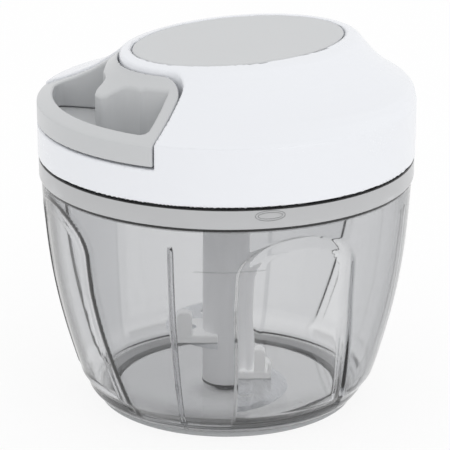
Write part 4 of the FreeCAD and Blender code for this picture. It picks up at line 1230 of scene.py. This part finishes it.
coil = []
for step, turn in enumerate(np.linspace(0, 2 * math.pi * COIL_TURNS, COIL_STEPS)):
    sunk = COIL_RISE * step / (COIL_STEPS - 1)
    coil.append((COIL_R * math.cos(turn), COIL_R * math.sin(turn), CORD_Z + COIL_RISE / 2 - sunk))
cord_tube("cord_on_the_drum", coil, CORD_R, "spool", "pull_cord_wound")
bend_off = -math.pi / 2 - math.acos(COIL_R / abs(EYE_Y))
leave = np.array((COIL_R * math.cos(bend_off), COIL_R * math.sin(bend_off), CORD_Z))
eye = np.array((0.0, EYE_Y, CORD_Z))
back = leave + (eye - leave) * 0.12
run = [back + (eye - back) * share for share in np.linspace(0, 0.92, 20)]
out = np.array((0.0, POCKET_WALL_Y + 1.0, CORD_Z))
near, far = run[-1], eye + (out - eye) * 0.3
run += [(1 - t) ** 2 * near + 2 * t * (1 - t) * eye + t * t * far for t in np.linspace(0.1, 1.0, 9)]
run += [far + (out - far) * share for share in np.linspace(0.2, 1.0, 6)]
cord_tube("cord_to_the_eyelet", run, CORD_R, "lid", "pull_cord_inner")
lead = [(0.0, y, CORD_Z) for y in np.linspace(POCKET_WALL_Y + 1.0, KNOT_Y + 0.6, 160)]
drawn_out = cord_tube("cord_to_the_handle", lead, CORD_R, None, "pull_cord_lead")
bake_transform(drawn_out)
knot = []
for turn in np.linspace(0, 2 * math.pi, 140, endpoint=False):
    reach = KNOT_SIZE * (2 + math.cos(3 * turn))
    deep = KNOT_Y + KNOT_DEPTH * math.sin(3 * turn)
    knot.append((reach * math.cos(2 * turn), deep, CORD_Z + reach * math.sin(2 * turn)))
cord_tube("cord_end_knot", knot, KNOT_CORD_R, "handle", "cord_knot", closed=True)

# ---------------------------------------------------------------- lock mark
# A plain oval outline, moulded twice over on the bowl's rim band, shows where the lid locks. It is
# the same smoke-grey plastic, with a satin face.
MARK_Z = 86.9
MARK_TURN = math.radians(-15.4)
mark_grey = Finish("moulded mark", (0.28, 0.285, 0.29), 0.4)
mark_grey.moulded(0.0004, 0.000004, 0.32, 0.48)
for number, (half_w, half_h) in enumerate(((5.0, 1.75), (4.1, 1.1)), 1):
    outline = []
    for a in np.linspace(0, 2 * math.pi, 72, endpoint=False):
        turn = MARK_TURN + half_w * math.cos(a) / BAND_R
        outline.append((BAND_R * math.cos(turn), BAND_R * math.sin(turn), MARK_Z + half_h * math.sin(a)))
    look = {"finish": mark_grey, "slot": "smoke_clear"}
    cord_tube(f"lock_mark_{number}", outline, 0.12, "bowl", edges=6, closed=True, **look)

# ---------------------------------------------------------------- studio
# A plain pale floor and backdrop under soft light from all round, a little stronger from the
# right. What is seen of the floor directly or in a reflection is lifted towards white.
FLOOR_LIFT = 0.88
SKY_LIGHT = 0.92
LIGHT_PATHS = {"camera": 0, "glossy": 3, "transmission": 6}


def ray(nodes, kind):
    """One where a place is reached by this kind of ray, otherwise nought."""
    return nodes.node("ShaderNodeLightPath", {}, output=LIGHT_PATHS[kind])


floor_mesh = bpy.data.meshes.new("floor")
floor_mesh.from_pydata([(-6, -6, 0), (6, -6, 0), (6, 6, 0), (-6, 6, 0)], [], [(0, 1, 2, 3)])
floor = placed("floor", floor_mesh)
paper = Finish("white paper", (1.0, 1.0, 1.0), 0.9)
lifted = FLOOR_LIFT * ray(paper, "camera").or_more(ray(paper, "glossy"))
paper.laid_over(lifted, paper.node("ShaderNodeEmission", {}))
floor_mesh.materials.append(paper.material)
world = bpy.data.worlds.new("studio")
bpy.context.scene.world = world
world.use_nodes = True
sky = Nodes(world.node_tree)
backdrop = sky.tree.nodes["Background"]
seen = ray(sky, "camera").or_more(ray(sky, "transmission")).or_more(ray(sky, "glossy"))
sky.feed(backdrop.inputs["Color"], (1.0, 1.0, 1.0, 1.0))
sky.feed(backdrop.inputs["Strength"], sky.node("ShaderNodeMapRange", {}, seen, 0.0, 1.0, SKY_LIGHT, 1.0))
key_data = bpy.data.lights.new("key", "AREA")
key_data.shape = "DISK"
key_data.size = 1.2
key_data.energy = 3.0
key = placed("key", key_data)
key.location = (1.3, 0.3, 1.1)
key.rotation_mode = "QUATERNION"
key.rotation_quaternion = (Vector((0, 0, 0.07)) - key.location).to_track_quat("-Z", "Y")

bpy.context.scene.view_settings.view_transform = "Standard"
